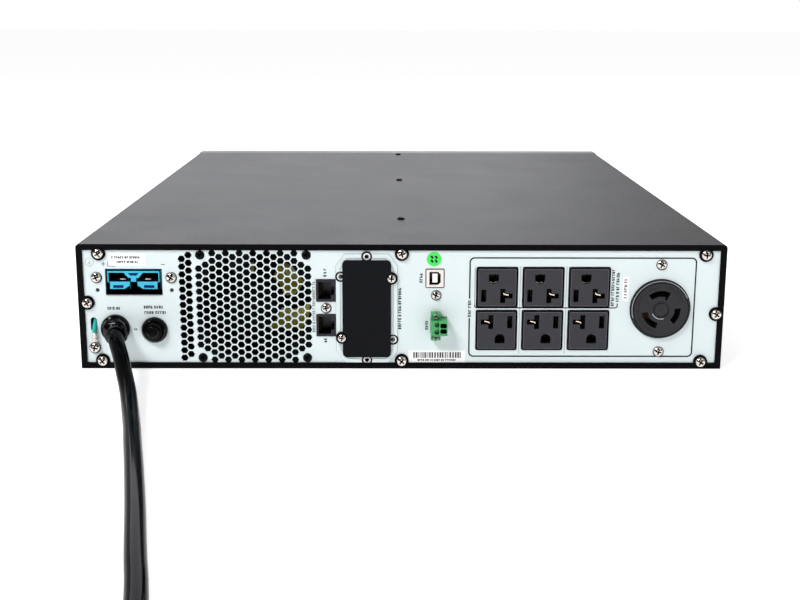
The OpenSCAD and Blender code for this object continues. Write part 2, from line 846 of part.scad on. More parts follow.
module drawer_front() {
    face_x = [front_split_x + 0.8, half_w - 8.8];
    face_z = [sheet + 0.6, body_h - 2.8];
    louvre_pitch = 6;
    color([0.08, 0.08, 0.09])
    difference() {
        block([face_x[0], drawer_y[1] + 1.2, face_z[0]], [face_x[1], front_y, face_z[1]]);
        block([face_x[0] + 3, drawer_y[1], face_z[0] + 3], [face_x[1] - 3, bezel_skin_y, face_z[1] - 3]);
        for (i = [0 : 8], s = [0, 1])
            translate([face_x[0] + 18 + s * 176, bezel_skin_y - 1, 18 + i * louvre_pitch])
                cube([96, 8, 2.4]);
        // Finger recess for pulling the drawer out
        block([face_x[0] + 124, bezel_skin_y - 1, 26], [face_x[0] + 184, front_y + 1, 58]);
    }
    color([0.08, 0.08, 0.09])
    difference() {
        block([face_x[0] + 122, bezel_skin_y - 12, 24], [face_x[0] + 186, bezel_skin_y, 60]);
        block([face_x[0] + 124, bezel_skin_y - 10, 26], [face_x[0] + 184, bezel_skin_y + 1, 58]);
    }
}

module drawer_tray() {
    wall_h = 40;
    color([0.72, 0.73, 0.74])
    {
        block([drawer_x[0], drawer_y[0], drawer_floor_z],
              [drawer_x[1], drawer_y[1] + sheet, drawer_floor_z + sheet]);
        for (x = [drawer_x[0], drawer_x[1] - sheet])
            block([x, drawer_y[0], drawer_floor_z], [x + sheet, drawer_y[1] + sheet, wall_h]);
        for (y = [drawer_y[0], drawer_y[1]])
            block([drawer_x[0], y, drawer_floor_z], [drawer_x[1], y + sheet, wall_h]);
    }
}

// ---------- power electronics ----------

battery_gap = 1;
battery_z = drawer_floor_z + sheet;

// Low corner of the battery in column i and row j.
function battery_corner(i, j) = [
    drawer_x[0] + sheet + 1 + i * (battery_w + battery_gap),
    drawer_y[0] + sheet + 1 + j * (battery_l + battery_gap),
    battery_z];

module batteries() {
    for (i = [0 : 2], j = [0, 1]) translate(battery_corner(i, j)) {
        color([0.2, 0.21, 0.23]) cube([battery_w, battery_l, battery_h]);
        color([0.8, 0.6, 0.3])
        for (x = [18, battery_w - 24])
            translate([x, battery_l / 2 + (j == 0 ? 60 : -64), battery_h]) cube([6, 4, 6]);
    }
}

// Link plates joining neighbouring terminals, and the connector at the back of the drawer.
module battery_links() {
    color([0.75, 0.45, 0.3])
    for (j = [0, 1], i = [0, 1])
        translate(battery_corner(i, j) + [battery_w - 24, battery_l / 2 + (j == 0 ? 65 : -68), battery_h])
            cube([43, 3, 5]);
    color([0.75, 0.2, 0.15])
    difference() {
        block(dock_low, [dock_high[0], drawer_y[0], dock_high[2]]);
        for (x = [4, 16]) block(dock_low + [x, -1, 4], dock_low + [x + 8, 10, 12]);
    }
}

module power_board() {
    post_r = 3;
    color([0.12, 0.38, 0.22]) block([2, board_y[0], board_z], [212, board_y[1], board_z + 1.6]);
    color([0.75, 0.75, 0.76])
    for (x = [10, 107, 204], y = [board_y[0] + 8, board_y[1] - 8])
        translate([x, y, sheet]) cylinder(r = post_r, h = board_z - sheet);
    color([0.15, 0.15, 0.17])
    for (i = [0 : 4]) translate([150, board_y[0] + 14 + i * 24, board_z + 1.6]) cube([50, 16, 22]);
    color([0.7, 0.4, 0.2])
    for (i = [0, 1]) translate([30 + i * 50, board_y[0] + 24, board_z + 1.6])
        difference() {
            cylinder(r = 19, h = 18);
            translate([0, 0, 2]) cylinder(r = 8, h = 20);
        }
    // Socket that the battery drawer's connector slides into
    color([0.75, 0.2, 0.15])
    difference() {
        block(dock_low - [4, 6, dock_low[2] - board_z - 1], [dock_high[0] + 4, -44.4, dock_high[2] + 4]);
        block(dock_low - [0.6, 1, 0.6], [dock_high[0] + 0.6, 0, dock_high[2] + 0.6]);
    }
}

module control_board() {
    color([0.12, 0.38, 0.22]) block([-212, -20, 10], [-110, 240, 11.6]);
    color([0.12, 0.12, 0.13])
    for (p = [[-190, 30], [-150, 60], [-180, 120], [-140, 170]])
        translate([p[0], p[1], 11.6]) cube([22, 22, 3]);
    color([0.75, 0.75, 0.76])
    for (x = [-206, -116], y = [-14, 234]) translate([x, y, sheet]) cylinder(r = 3, h = 10 - sheet);
}

module heat_sinks() {
    fin_pitch = 7;
    color([0.75, 0.76, 0.78])
    for (y = [-112, -86]) translate([16, y, board_z + 1.6]) {
        cube([120, 4, 50]);
        for (i = [0 : 16]) translate([2 + i * fin_pitch, 4 - eps, 0]) cube([1.6, 18, 50]);
    }
}

core_c = [-82, -204];
core_size = [84, 60, 72];
limb_w = 22;
winding_w = 14;
winding_h = 44;

module transformer_core() {
    frame_z = sheet + 3;
    color([0.35, 0.36, 0.38]) {
        translate([core_c[0], core_c[1] + core_size[1] / 2, frame_z + core_size[2] / 2]) rotate([90, 0, 0])
        linear_extrude(core_size[1])
        difference() {
            square([core_size[0], core_size[2]], center = true);
            for (s = [-1, 1])
                translate([s * (limb_w + winding_w + 1) / 2, 0])
                    square([winding_w + 1, winding_h + 2], center = true);
        }
        block([core_c[0] - 46, core_c[1] - 20, sheet], [core_c[0] + 46, core_c[1] + 20, frame_z + eps]);
    }
}

module transformer_coil() {
    coil_z = sheet + 3 + core_size[2] / 2;
    outer = [limb_w + 2 * winding_w, core_size[1] + 2 * winding_w];
    color([0.78, 0.72, 0.2])
    translate([core_c[0], core_c[1], coil_z - winding_h / 2])
    linear_extrude(winding_h)
    difference() {
        round_rect(outer[0], outer[1], 6);
        square([limb_w + 0.4, core_size[1] + 0.4], center = true);
    }
}

module capacitors() {
    can_r = 15;
    color([0.1, 0.12, 0.2])
    for (i = [0 : 3]) translate([26 + i * 34, -152, board_z + 1.6]) cylinder(r = can_r, h = 50);
}

base_tray();
top_cover();
cover_rail();
rear_panel();
bay_divider();
rear_screws();
cover_screws();
fan_frame();
fan_rotor();
fan_screws();
battery_connector();
battery_contacts();
breaker_body();
breaker_nut();
breaker_button();
ground_screw();
ground_wire();
modular_jack(jack_z[0]);  // surge_jack_out
modular_jack(jack_z[1]);  // surge_jack_in
jack_contacts();
slot_cover();
slot_screws();
slot_nuts();
card_cage();
card_connector();
usb_port();
epo_socket();
epo_plug();
outlet_contacts();
locking_outlet();
locking_contacts();
for (i = [1 : 6]) outlet(i);
strain_relief();
power_cord();
cord_coil();
cord_tail();
plug_body();
plug_blades();
front_bezel();
display_window();
display_board();
front_button(button_x[0]);  // power_button
front_button(button_x[1]);  // enter_button
front_button(button_x[2]);  // up_button
front_button(button_x[3]);  // down_button
drawer_front();
drawer_tray();
batteries();
battery_links();
power_board();
control_board();
heat_sinks();
transformer_core();
transformer_coil();
capacitors();
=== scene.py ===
"""Looks of the two-unit rackmount UPS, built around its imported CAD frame."""
import json
import math
import random

import bmesh
import bpy
from mathutils import Matrix, Vector


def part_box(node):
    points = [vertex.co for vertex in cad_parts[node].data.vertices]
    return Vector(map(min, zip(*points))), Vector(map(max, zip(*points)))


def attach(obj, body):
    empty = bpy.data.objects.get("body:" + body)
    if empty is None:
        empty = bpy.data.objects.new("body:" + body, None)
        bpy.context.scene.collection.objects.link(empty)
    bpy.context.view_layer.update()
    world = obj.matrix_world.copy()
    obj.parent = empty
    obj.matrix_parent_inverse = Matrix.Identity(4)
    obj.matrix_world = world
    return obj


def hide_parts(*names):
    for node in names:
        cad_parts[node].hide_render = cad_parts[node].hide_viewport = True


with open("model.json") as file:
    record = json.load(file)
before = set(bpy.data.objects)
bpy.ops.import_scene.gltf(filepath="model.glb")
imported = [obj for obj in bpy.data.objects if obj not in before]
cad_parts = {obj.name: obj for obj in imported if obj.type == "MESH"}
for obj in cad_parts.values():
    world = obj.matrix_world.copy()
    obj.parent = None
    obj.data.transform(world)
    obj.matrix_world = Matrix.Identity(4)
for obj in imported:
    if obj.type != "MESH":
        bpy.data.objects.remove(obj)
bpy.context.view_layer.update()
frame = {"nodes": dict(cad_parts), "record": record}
nodes = frame["nodes"]
MM = 0.001


# ---------- places taken from the frame, in millimetres ----------

def box_mm(node):
    """Lowest and highest corner of a CAD node, in millimetres."""
    low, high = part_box(node)
    return low / MM, high / MM


def middle(node):
    """Centre of a CAD node's box, in millimetres."""
    low, high = box_mm(node)
    return (low + high) / 2


def islands(node):
    """Boxes of the separate solids in a CAD node, in millimetres, sorted by x and then z."""
    bm = bmesh.new()
    bm.from_mesh(nodes[node].data)
    bmesh.ops.remove_doubles(bm, verts=bm.verts, dist=1e-6)
    seen, found = set(), []
    for start in bm.verts:
        if start in seen:
            continue
        group, stack = {start}, [start]
        while stack:
            for edge in stack.pop().link_edges:
                for other in edge.verts:
                    if other not in group:
                        group.add(other)
                        stack.append(other)
        seen |= group
        places = [vertex.co / MM for vertex in group]
        found.append([Vector([pick(place[axis] for place in places) for axis in range(3)])
                      for pick in (min, max)])
    bm.free()
    return sorted(found, key=lambda b: (round(b[0].x, 1), round(b[0].z, 1)))


SHEET = 1.2
PANEL_FACE = box_mm("rear_panel")[1].y - SHEET
CASE_LOW, CASE_HIGH = box_mm("base_tray")[0], box_mm("top_cover")[1]
FRONT_Y = box_mm("front_bezel")[1].y
CORD_D = 10.5
WELD_M = 2e-6
BEVEL_ANGLE, SHARP_ANGLE = math.radians(35), math.radians(38)


def shift(x, y, z):
    return Matrix.Translation((x, y, z))


def rotation(degrees, axis):
    return Matrix.Rotation(math.radians(degrees), 4, axis)


def rear(x, z, out=0.0):
    """Matrix of a spot on the service face: local X is right, Y is up and Z points out of the face."""
    return shift(x, PANEL_FACE - out, z) @ rotation(90, "X")


def rear_middle(low, high):
    """The same for the middle of a box."""
    return rear((low.x + high.x) / 2, (low.z + high.z) / 2)


def front(x, z, out=0.0):
    """Matrix of a spot on the front face, seen from the front: local X is right, Y is up, Z is out."""
    turn = rotation(180, "Z") @ rotation(90, "X")
    return shift(x, FRONT_Y + out, z) @ turn


def front_middle(low, high, out=0.0):
    """The same for the middle of a box."""
    return front((low.x + high.x) / 2, (low.z + high.z) / 2, out)


# ---------- camera, light and floor ----------

def add_object(name, data):
    """Adds an object to the scene."""
    thing = bpy.data.objects.new(name, data)
    bpy.context.scene.collection.objects.link(thing)
    return thing


def make_camera():
    lens_mm = 56.34
    place = (-0.0071, CASE_LOW.y * MM - 0.8264, 0.2388)
    tilt, roll, yaw = 77.02, -0.16, -0.37
    data = bpy.data.cameras.new("camera")
    data.lens, data.sensor_width = lens_mm, 36
    data.clip_start, data.clip_end = 0.01, 50
    camera = add_object("camera", data)
    camera.location = place
    camera.rotation_euler = [math.radians(a) for a in (tilt, roll, yaw)]
    bpy.context.scene.camera = camera


def area_light(name, place, target, size, power, tint=(1, 1, 1)):
    data = bpy.data.lights.new(name, "AREA")
    data.shape, data.size, data.size_y = "RECTANGLE", size[0], size[1]
    data.energy, data.color = power, tint
    light = add_object(name, data)
    light.location = place
    aim = Vector(target) - Vector(place)
    light.rotation_euler = aim.to_track_quat("-Z", "Y").to_euler()


def set_inputs(node, values):
    """Gives a shader node's sockets their values, and links those whose value is another node's output."""
    for name, value in values.items():
        if isinstance(value, bpy.types.NodeSocket):
            node.id_data.links.new(value, node.inputs[name])
        else:
            node.inputs[name].default_value = value


def add_node(tree, kind, values, output):
    """Adds a shader node and returns one of its outputs."""
    node = tree.nodes.new(f"ShaderNode{kind}")
    set_inputs(node, values)
    return node.outputs[output]


def make_world():
    """Surroundings: white to the camera, and as light bright behind the unit and dim on the camera's side."""
    world = bpy.data.worlds.new("studio")
    bpy.context.scene.world = world
    world.use_nodes = True
    tree = world.node_tree
    direction = add_node(tree, "TexCoord", {}, "Generated")
    depth = add_node(tree, "SeparateXYZ", {"Vector": direction}, "Y")
    ramp = add_node(tree, "MapRange", {"Value": depth, "From Min": -0.25, "From Max": 0.85,
                                       "To Min": 0.04, "To Max": 1.0}, "Result")
    seen = add_node(tree, "LightPath", {}, "Is Camera Ray")
    strength = add_node(tree, "Mix", {"Factor": seen, "A": ramp, "B": 1.0}, "Result")
    set_inputs(tree.nodes["Background"], {"Color": (1, 1, 1, 1), "Strength": strength})


def make_stage():
    bpy.context.scene.view_settings.view_transform = "Standard"
    make_world()
    area_light("key", (-1.1, -1.8, 1.8), (0, -0.2, 0.05), (0.7, 0.5), 36)
    area_light("strip", (-1.0, -0.9, 1.3), (-0.1, -0.5, 0), (1.2, 0.015), 7)
    area_light("fill", (1.2, -1.5, 0.9), (0, -0.2, 0.05), (1.0, 1.0), 5)
    area_light("back", (-0.6, 2.4, 1.5), (0, 0.1, 0.05), (2.6, 1.4), 47, (0.92, 0.93, 1.0))
    bpy.ops.mesh.primitive_plane_add(size=30, location=(0, 0, -0.0002))
    floor = bpy.context.object
    floor.name = "floor"
    material = bpy.data.materials.new("floor_paper")
    material.use_nodes = True
    shader = material.node_tree.nodes["Principled BSDF"]
    set_inputs(shader, {"Base Color": (0.93, 0.93, 0.93, 1), "Roughness": 0.9, "Specular IOR Level": 0.1,
                        "Emission Color": (1, 1, 1, 1), "Emission Strength": 0.62})
    floor.data.materials.append(material)


# ---------- materials ----------

def add_color_mix(tree, share, first, second):
    """Mixes two colours, each either fixed or the output of another node."""
    mix = tree.nodes.new("ShaderNodeMix")
    mix.data_type = "RGBA"
    set_inputs(mix, {"Factor": share, 6: first, 7: second})
    return mix.outputs[2]


def make_material(name, color, rough, grain=(0.1, 1500), mottle=(0.1, 60), metallic=0.0, specular=0.5,
                  coat=0.0, stretch=(1, 1, 1), smudge=0.08, glow=0.0, beyond=None):
    """Procedural finish: fine grain as bump, cloudy variation of colour, and smudges in the roughness.

    grain is the bump's strength and scale, mottle the share and scale of the cloudy colour. beyond is (axis,
    place in mm, colour): past that place the colour changes: painted shade deep in sockets and slots, and the
    parts' own colour on the boards.
    """
    blur = 0.15
    material = bpy.data.materials.new(name)
    material.use_nodes = True
    tree = material.node_tree
    place = add_node(tree, "TexCoord", {}, "Object")
    stretched = add_node(tree, "Mapping", {"Vector": place, "Scale": stretch}, "Vector")
    clouds = add_node(tree, "TexNoise", {"Vector": stretched, "Scale": mottle[1], "Detail": 4}, "Fac")
    dark = (*[c * (1 - mottle[0]) for c in color], 1)
    light = (*[min(1, c * (1 + mottle[0])) for c in color], 1)
    shade = add_color_mix(tree, clouds, dark, light)
    # Past the given place the colour changes; in sockets and slots this is painted shade of their depths.
    if beyond:
        axis, edge, far_color = beyond
        depth = add_node(tree, "SeparateXYZ", {"Vector": place}, axis)
        inside = add_node(tree, "MapRange", {"Value": depth, "From Min": (edge - blur) * MM,
                                             "From Max": (edge + blur) * MM}, "Result")
        shade = add_color_mix(tree, inside, shade, (*far_color, 1))
    smear = add_node(tree, "MapRange", {"Value": clouds, "To Min": max(0.02, rough - smudge),
                                        "To Max": rough + smudge}, "Result")
    shader = tree.nodes["Principled BSDF"]
    set_inputs(shader, {"Base Color": shade, "Roughness": smear, "Metallic": metallic,
                        "Specular IOR Level": specular, "Coat Weight": coat})
    if glow:
        set_inputs(shader, {"Emission Color": (*color, 1), "Emission Strength": glow})
    if grain[0]:
        fine = add_node(tree, "TexNoise", {"Vector": stretched, "Scale": grain[1], "Detail": 3}, "Fac")
        bump = add_node(tree, "Bump", {"Height": fine, "Strength": grain[0], "Distance": 0.0003}, "Normal")
        set_inputs(shader, {"Normal": bump})
    return material


def make_glass(name, color):
    material = make_material(name, color, 0.06, grain=(0, 0), mottle=(0.08, 40), smudge=0.02)
    shader = material.node_tree.nodes["Principled BSDF"]
    set_inputs(shader, {"Transmission Weight": 0.9, "IOR": 1.49})
    return material


def look(*values, **more):
    """What make_material takes after the name: colour, roughness, grain, mottle and the rest."""
    return values, more


BOARD = ((0.02, 0.16, 0.07), 0.36, (0.3, 420), (0.2, 140))
FINISHES = dict(
    case_coating=look((0.001, 0.001, 0.002), 0.42, (0.5, 2600), (0.2, 18), specular=0.06, smudge=0.04),
    panel_coating=look((0.69, 0.77, 0.785), 0.42, (0.25, 2200), (0.012, 12), specular=0.4),
    zinc_steel=look((0.30, 0.31, 0.33), 0.38, (0.3, 260), (0.12, 30), metallic=0.9, stretch=(1, 0.15, 1)),
    bright_screws=look((0.64, 0.59, 0.55), 0.16, (0.15, 1500), (0.1, 500), metallic=1.0),
    black_screws=look((0.003, 0.003, 0.004), 0.4, (0.2, 1500), (0.1, 200), specular=0.08),
    fan_plastic=look((0.0015, 0.0015, 0.002), 0.5, (0.2, 1200), specular=0.05),
    # Deeper than a millimetre behind the panel face the blue turns almost black: painted shade in the
    # cavities.
    connector_blue=look((0.008, 0.44, 0.64), 0.32, (0.2, 1400), (0.08, 90), coat=0.2,
                        beyond=("Y", PANEL_FACE + 1.0, (0.001, 0.003, 0.03))),
    navy=look((0.001, 0.014, 0.12), 0.4, (0.1, 900), (0.1, 90), specular=0.1),
    # Contact metal coloured almost black: painted shade of the deep slots and cavities where the contacts
    # sit.
    contact_metal=look((0.018, 0.012, 0.007), 0.3, (0.15, 1200), (0.1, 200), metallic=1.0),
    wiper_brass=look((0.85, 0.74, 0.58), 0.22, (0.15, 1200), (0.1, 200), metallic=1.0),
    tin=look((0.66, 0.64, 0.58), 0.32, (0.2, 1200), (0.1, 200), metallic=0.9),
    breaker_plastic=look((0.0024, 0.0024, 0.003), 0.15, (0.15, 1600), (0.1, 90), specular=0.2, smudge=0.04),
    ground_lead=look((0.005, 0.40, 0.36), 0.3, (0.1, 900), (0.08, 120)),
    # Deeper inside, the colour turns almost black: painted shade in the openings.
    port_plastic=look((0.004, 0.0035, 0.009), 0.38, (0.2, 1600), (0.1, 90), specular=0.4,
                      beyond=("Y", PANEL_FACE + 1.2, (0.002, 0.002, 0.006))),
    slot_plate=look((0.0032, 0.0036, 0.0055), 0.5, (0.35, 2400), (0.15, 40), specular=0.1),
    # Deeper inside, the shell turns dark: painted shade in the port.
    port_shell=look((0.80, 0.73, 0.70), 0.3, (0.15, 900), (0.06, 150), metallic=0.4,
                    beyond=("Y", PANEL_FACE + 0.6, (0.01, 0.008, 0.008))),
    terminal_green=look((0.035, 0.33, 0.09), 0.35, (0.2, 1400), (0.08, 90)),
    # Deeper inside, the plastic turns almost black: painted shade in the slots.
    outlet_plastic=look((0.0195, 0.0195, 0.027), 0.42, (0.3, 2200), (0.1, 70), specular=0.4,
                        beyond=("Y", PANEL_FACE + 0.4, (0.003, 0.003, 0.004))),
    # Deeper inside, the plastic turns almost black: painted shade in the slots.
    locking_face=look((0.0075, 0.0075, 0.0105), 0.34, (0.3, 2200), (0.1, 70), specular=0.35,
                      beyond=("Y", PANEL_FACE + 0.4, (0.003, 0.003, 0.004))),
    cord_jacket=look((0.0012, 0.0012, 0.0016), 0.1, (0.08, 500), (0.15, 60), specular=0.01, smudge=0.03),
    gland_plastic=look((0.0014, 0.0014, 0.0018), 0.14, (0.08, 900), specular=0.2, smudge=0.04),
    plug_plastic=look((0.014, 0.014, 0.016), 0.4, (0.25, 1800)),
    bezel_plastic=look((0.012, 0.012, 0.014), 0.48, (0.5, 1900), (0.12, 25)),
    button_plastic=look((0.42, 0.43, 0.46), 0.36, (0.2, 1800), (0.05, 80)),
    circuit_board=look((0.02, 0.16, 0.07), 0.36, (0.5, 420), (0.25, 140), coat=0.2),
    battery_case=look((0.045, 0.05, 0.058), 0.4, (0.3, 1400), (0.1, 30)),
    battery_leads=look((0.5, 0.06, 0.04), 0.4, (0.2, 1400), (0.1, 90)),
    heat_sink=look((0.30, 0.31, 0.33), 0.34, (0.3, 300), (0.08, 60), metallic=0.95, stretch=(1, 1, 0.2)),
    core_steel=look((0.05, 0.05, 0.055), 0.5, (0.8, 500), (0.2, 80), metallic=0.6, stretch=(0.1, 6, 0.1)),
    # The winding glows, though it is no lamp: painted light that lets it show through the fan.
    winding_tape=look((0.62, 0.55, 0.06), 0.3, (0.2, 300), (0.1, 90), coat=0.4, glow=0.08),
    capacitor_sleeve=look((0.02, 0.03, 0.09), 0.28, (0.1, 600)),
    ink=look((0.008, 0.009, 0.011), 0.5, mottle=(0.2, 400), specular=0.2),
    # Pale print, and painted shade lines along the card slot's raised border.
    pale_ink_and_shade=look((0.26, 0.30, 0.32), 0.5, mottle=(0.1, 400)),
    label_paper=look((0.93, 0.92, 0.92), 0.4, mottle=(0.02, 60)),
    white_plastic=look((0.86, 0.85, 0.83), 0.4, mottle=(0.03, 60)),
    green_dot=look((0.045, 0.72, 0.09), 0.4, mottle=(0.05, 200)),
    # Black used only for painted shade and shadows: recess floors, gaps, screw shadows and openings.
    painted_shade_black=look((0.001, 0.001, 0.001), 0.7, (0.0, 900), specular=0.0),
    dull_screws=look((0.20, 0.30, 0.22), 0.4, mottle=(0.1, 200), metallic=0.6),
    # Grey used for painted highlight loops on the outlet faces.
    painted_highlight_plastic=look((0.075, 0.075, 0.09), 0.4, mottle=(0.1, 200)),
    # Grey for painted shade lines between the outlet columns and painted highlights on the locking outlet.
    shade_and_highlight_grey=look((0.50, 0.52, 0.55), 0.5, mottle=(0.05, 200)),
    # Pale grey of the lamp rings, window rim and trim strip, and painted light on the connector cut-out's
    # lower lip.
    light_grey_and_lit_lip=look((0.42, 0.43, 0.46), 0.5, mottle=(0.05, 200)),
    lcd=look((0.20, 0.34, 0.42), 0.3, (0.0, 900), (0.04, 60), glow=0.15),
    lcd_dark=look((0.01, 0.015, 0.03), 0.4, (0.0, 900), (0.04, 60)),
    strap=look((0.02, 0.02, 0.022), 0.8, (0.8, 3000), (0.2, 300), specular=0.2),
    brown_edge=look((0.07, 0.035, 0.03), 0.5, mottle=(0.1, 300)),
    dark_green=look((0.006, 0.05, 0.02), 0.4, mottle=(0.1, 300)),
    lamp_green=look((0.05, 0.7, 0.12), 0.2, (0.0, 900), (0.05, 200), glow=0.3),
    lamp_amber=look((0.35, 0.16, 0.01), 0.2, (0.0, 900), (0.05, 200)),
    lamp_red=look((0.30, 0.02, 0.02), 0.2, (0.0, 900), (0.05, 200)),
    power_board_parts=look(*BOARD, beyond=("Z", 9.8, (0.012, 0.012, 0.014))),
    control_board_parts=look(*BOARD, beyond=("Z", 11.8, (0.012, 0.012, 0.014))),
    display_board_parts=look(*BOARD, beyond=("Y", 279.8, (0.3, 0.32, 0.31))))
M = {name: make_material(name, *values, **more) for name, (values, more) in FINISHES.items()}
M["window_clear"] = make_glass("window_clear", (0.55, 0.6, 0.66))


def paint(node, slot):
    """Gives a CAD node its procedural material."""
    mesh = nodes[node].data
    mesh.materials.clear()
    mesh.materials.append(M[slot])


def add_bevel(piece, width_mm):
    """Rounds the edges sharper than BEVEL_ANGLE."""
    bevel = piece.modifiers.new("bevel", "BEVEL")
    bevel.width = width_mm * MM
    bevel.segments = 2
    bevel.limit_method = "ANGLE"
    bevel.angle_limit = BEVEL_ANGLE


def soften(node, width_mm):
    """Rounds a CAD node's sharp edges with modifiers, which leave its own mesh as it is."""
    piece = nodes[node]
    weld = piece.modifiers.new("weld", "WELD")
    weld.merge_threshold = WELD_M
    add_bevel(piece, width_mm)


# ---------- mesh building ----------

def meshes(count):
    return [bmesh.new() for _ in range(count)]


def ring_faces(bm, rings, caps=True):
    """Joins rings of vertices, each a list of the same length, into a skin."""
    count = len(rings[0])
    for a, b in zip(rings, rings[1:]):
        for j in range(count):
            k = (j + 1) % count
            bm.faces.new((a[j], a[k], b[k], b[j]))
    if caps:
        bm.faces.new(list(reversed(rings[0])))
        bm.faces.new(rings[-1])


def polar(radius, angle, height=0.0):
    return Vector((radius * math.cos(angle), radius * math.sin(angle), height))


def full_turn(steps):
    """Angles all the way round, in equal steps."""
    return [2 * math.pi * j / steps for j in range(steps)]


def add_lathe(bm, profile, matrix, segments=40, wobble=None):
    """Turns a profile of (radius, height) points round local Z. wobble(angle, height) scales the radius."""
    rings = []
    for radius, height in profile:
        reach = [(radius * (wobble(a, height) if wobble else 1), a) for a in full_turn(segments)]
        rings.append([bm.verts.new(matrix @ polar(r, a, height)) for r, a in reach])
    ring_faces(bm, rings)


def add_tube_ring(bm, profile, matrix, segments=48):
    """Turns a closed (radius, height) outline round local Z into a ring."""
    rings = [[bm.verts.new(matrix @ polar(r, a, h)) for r, h in profile] for a in full_turn(segments)]
    ring_faces(bm, rings + [rings[0]], caps=False)


def add_prism(bm, outline, low, high, matrix):
    """Extrudes a flat outline, counter-clockwise, from height low to height high."""
    bottom = [bm.verts.new(matrix @ Vector((x, y, low))) for x, y in outline]
    top = [bm.verts.new(matrix @ Vector((x, y, high))) for x, y in outline]
    ring_faces(bm, [bottom, top])


def add_box(bm, low, high, matrix=Matrix.Identity(4)):
    outline = [(low[0], low[1]), (high[0], low[1]), (high[0], high[1]), (low[0], high[1])]
    add_prism(bm, outline, low[2], high[2], matrix)


def circle_outline(radius, steps=32, x=0.0, y=0.0):
    return [(x + radius * math.cos(a), y + radius * math.sin(a)) for a in full_turn(steps)]


def arc(radius, start, stop, step, x=0.0, y=0.0):
    """Points on a circle from angle start to angle stop, in degrees."""
    angles = [math.radians(a) for a in range(start, stop + step, step)]
    return [(x + radius * math.cos(a), y + radius * math.sin(a)) for a in angles]


def round_outline(width, height, radius, steps=6):
    """Outline of a rectangle with round corners."""
    points = []
    x, y = width / 2 - radius, height / 2 - radius
    for start, side_x, side_y in ((-90, 1, -1), (0, 1, 1), (90, -1, 1), (180, -1, -1)):
        points += arc(radius, start, start + 90, 90 // steps, side_x * x, side_y * y)
    return points


def add_stroke(bm, points, width, low, high, matrix, closed=False):
    """A flat line of constant width along points, with mitred corners."""
    spots = [Vector(p) for p in points]
    ways = [(after - here).normalized() for here, after in zip(spots, spots[1:] + spots[:1])]
    if not closed:
        ways[-1] = ways[-2]
    rings = []
    for i, here in enumerate(spots):
        way_in = ways[i - 1] if closed or i else ways[0]
        way = (way_in + ways[i]).normalized()
        side = Vector((-way.y, way.x)) * (width / 2 / max(0.3, way.dot(way_in)))
        corners = [(here + side, low), (here - side, low), (here - side, high), (here + side, high)]
        rings.append([bm.verts.new(matrix @ Vector((p.x, p.y, h))) for p, h in corners])
    if closed:
        rings.append(rings[0])
    ring_faces(bm, rings, caps=not closed)


def add_loop(bm, points, width, low, high, matrix):
    add_stroke(bm, points, width, low, high, matrix, closed=True)


def finish_piece(bm, name, material, body="chassis", slot=None, replaces=(), smooth=True, bevel=0.0):
    """Turns a bmesh in millimetres into a piece in metres that rides on a body."""
    bmesh.ops.recalc_face_normals(bm, faces=bm.faces)
    bmesh.ops.scale(bm, vec=(MM,) * 3, verts=bm.verts)
    mesh = bpy.data.meshes.new(name)
    bm.to_mesh(mesh)
    bm.free()
    piece = add_object(name, mesh)
    mesh.materials.append(M[material])
    if bevel:
        add_bevel(piece, bevel)
    if smooth:
        mesh.shade_smooth()
        mesh.set_sharp_from_angle(angle=SHARP_ANGLE)
    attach(piece, body)
    if replaces:
        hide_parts(*replaces)
    return piece


def make_boxes(name, material, boxes, spot=Matrix.Identity(4), **more):
    """A piece made of boxes, each given by two corners."""
    bm = bmesh.new()
    for low, high in boxes:
        add_box(bm, low, high, spot)
    return finish_piece(bm, name, material, **more)


# ---------- input cord ----------

# The route from the gland to the coil, and from the coil to the plug, as in the CAD source.
CORD_ROUTE = [
    (-194.6, -292, 27.2), (-189.4, -312, 25), (-183, -331, 20.4), (-177, -350, 14.8),
    (-171.1, -369, 9.8), (-166.2, -388, 6.8), (-161.4, -408, 5.5), (-156.3, -430, 5.3),
    (-150.9, -455, 5.3), (-145.4, -480, 5.3), (-140, -505, 5.3), (-134.7, -530, 5.3),
    (-129.3, -556, 5.3), (-124.1, -582, 5.3), (-118.8, -608, 5.3), (-113.5, -633, 5.3),
    (-109, -658, 5.3), (-106, -683, 5.3), (-104.7, -708, 5.3), (-104, -733, 5.3),
    (-104, -757, 5.3), (-104, -780, 5.3)]
TAIL_ROUTE = [
    (-28, -856, 15.8), (-10, -856, 16.4), (8, -856, 18.6), (24, -856, 21.8), (38, -856, 24.4),
    (50, -856, 25.4)]
COIL_TURNS = 3
COIL_STEPS = 24
CLIMB_STEPS = 16


def coil_points():
    """Two layers: the lower winds inwards from the left, the upper winds outwards to the near side."""
    low, high = box_mm("cord_coil")
    centre = (low + high) / 2
    outer = (high.x - low.x) / 2 - CORD_D / 2
    inner = outer - CORD_D * COIL_TURNS
    points = []
    lower_steps = COIL_TURNS * COIL_STEPS
    upper_steps = int((COIL_TURNS + 0.25) * COIL_STEPS)
    for i in range(1, lower_steps + upper_steps):
        angle = math.pi + 2 * math.pi * i / COIL_STEPS
        down = i <= lower_steps
        share = i / lower_steps if down else (i - lower_steps) / upper_steps
        radius = outer + (inner - outer) * share if down else inner + (outer - inner) * share
        climb = min(1.0, max(0.0, (i - lower_steps) / CLIMB_STEPS + 0.5))
        height = CORD_D / 2 + 0.05 + CORD_D * climb * climb * (3 - 2 * climb)
        points.append((centre.x + radius * math.cos(angle), centre.y + radius * math.sin(angle), height))
    return points


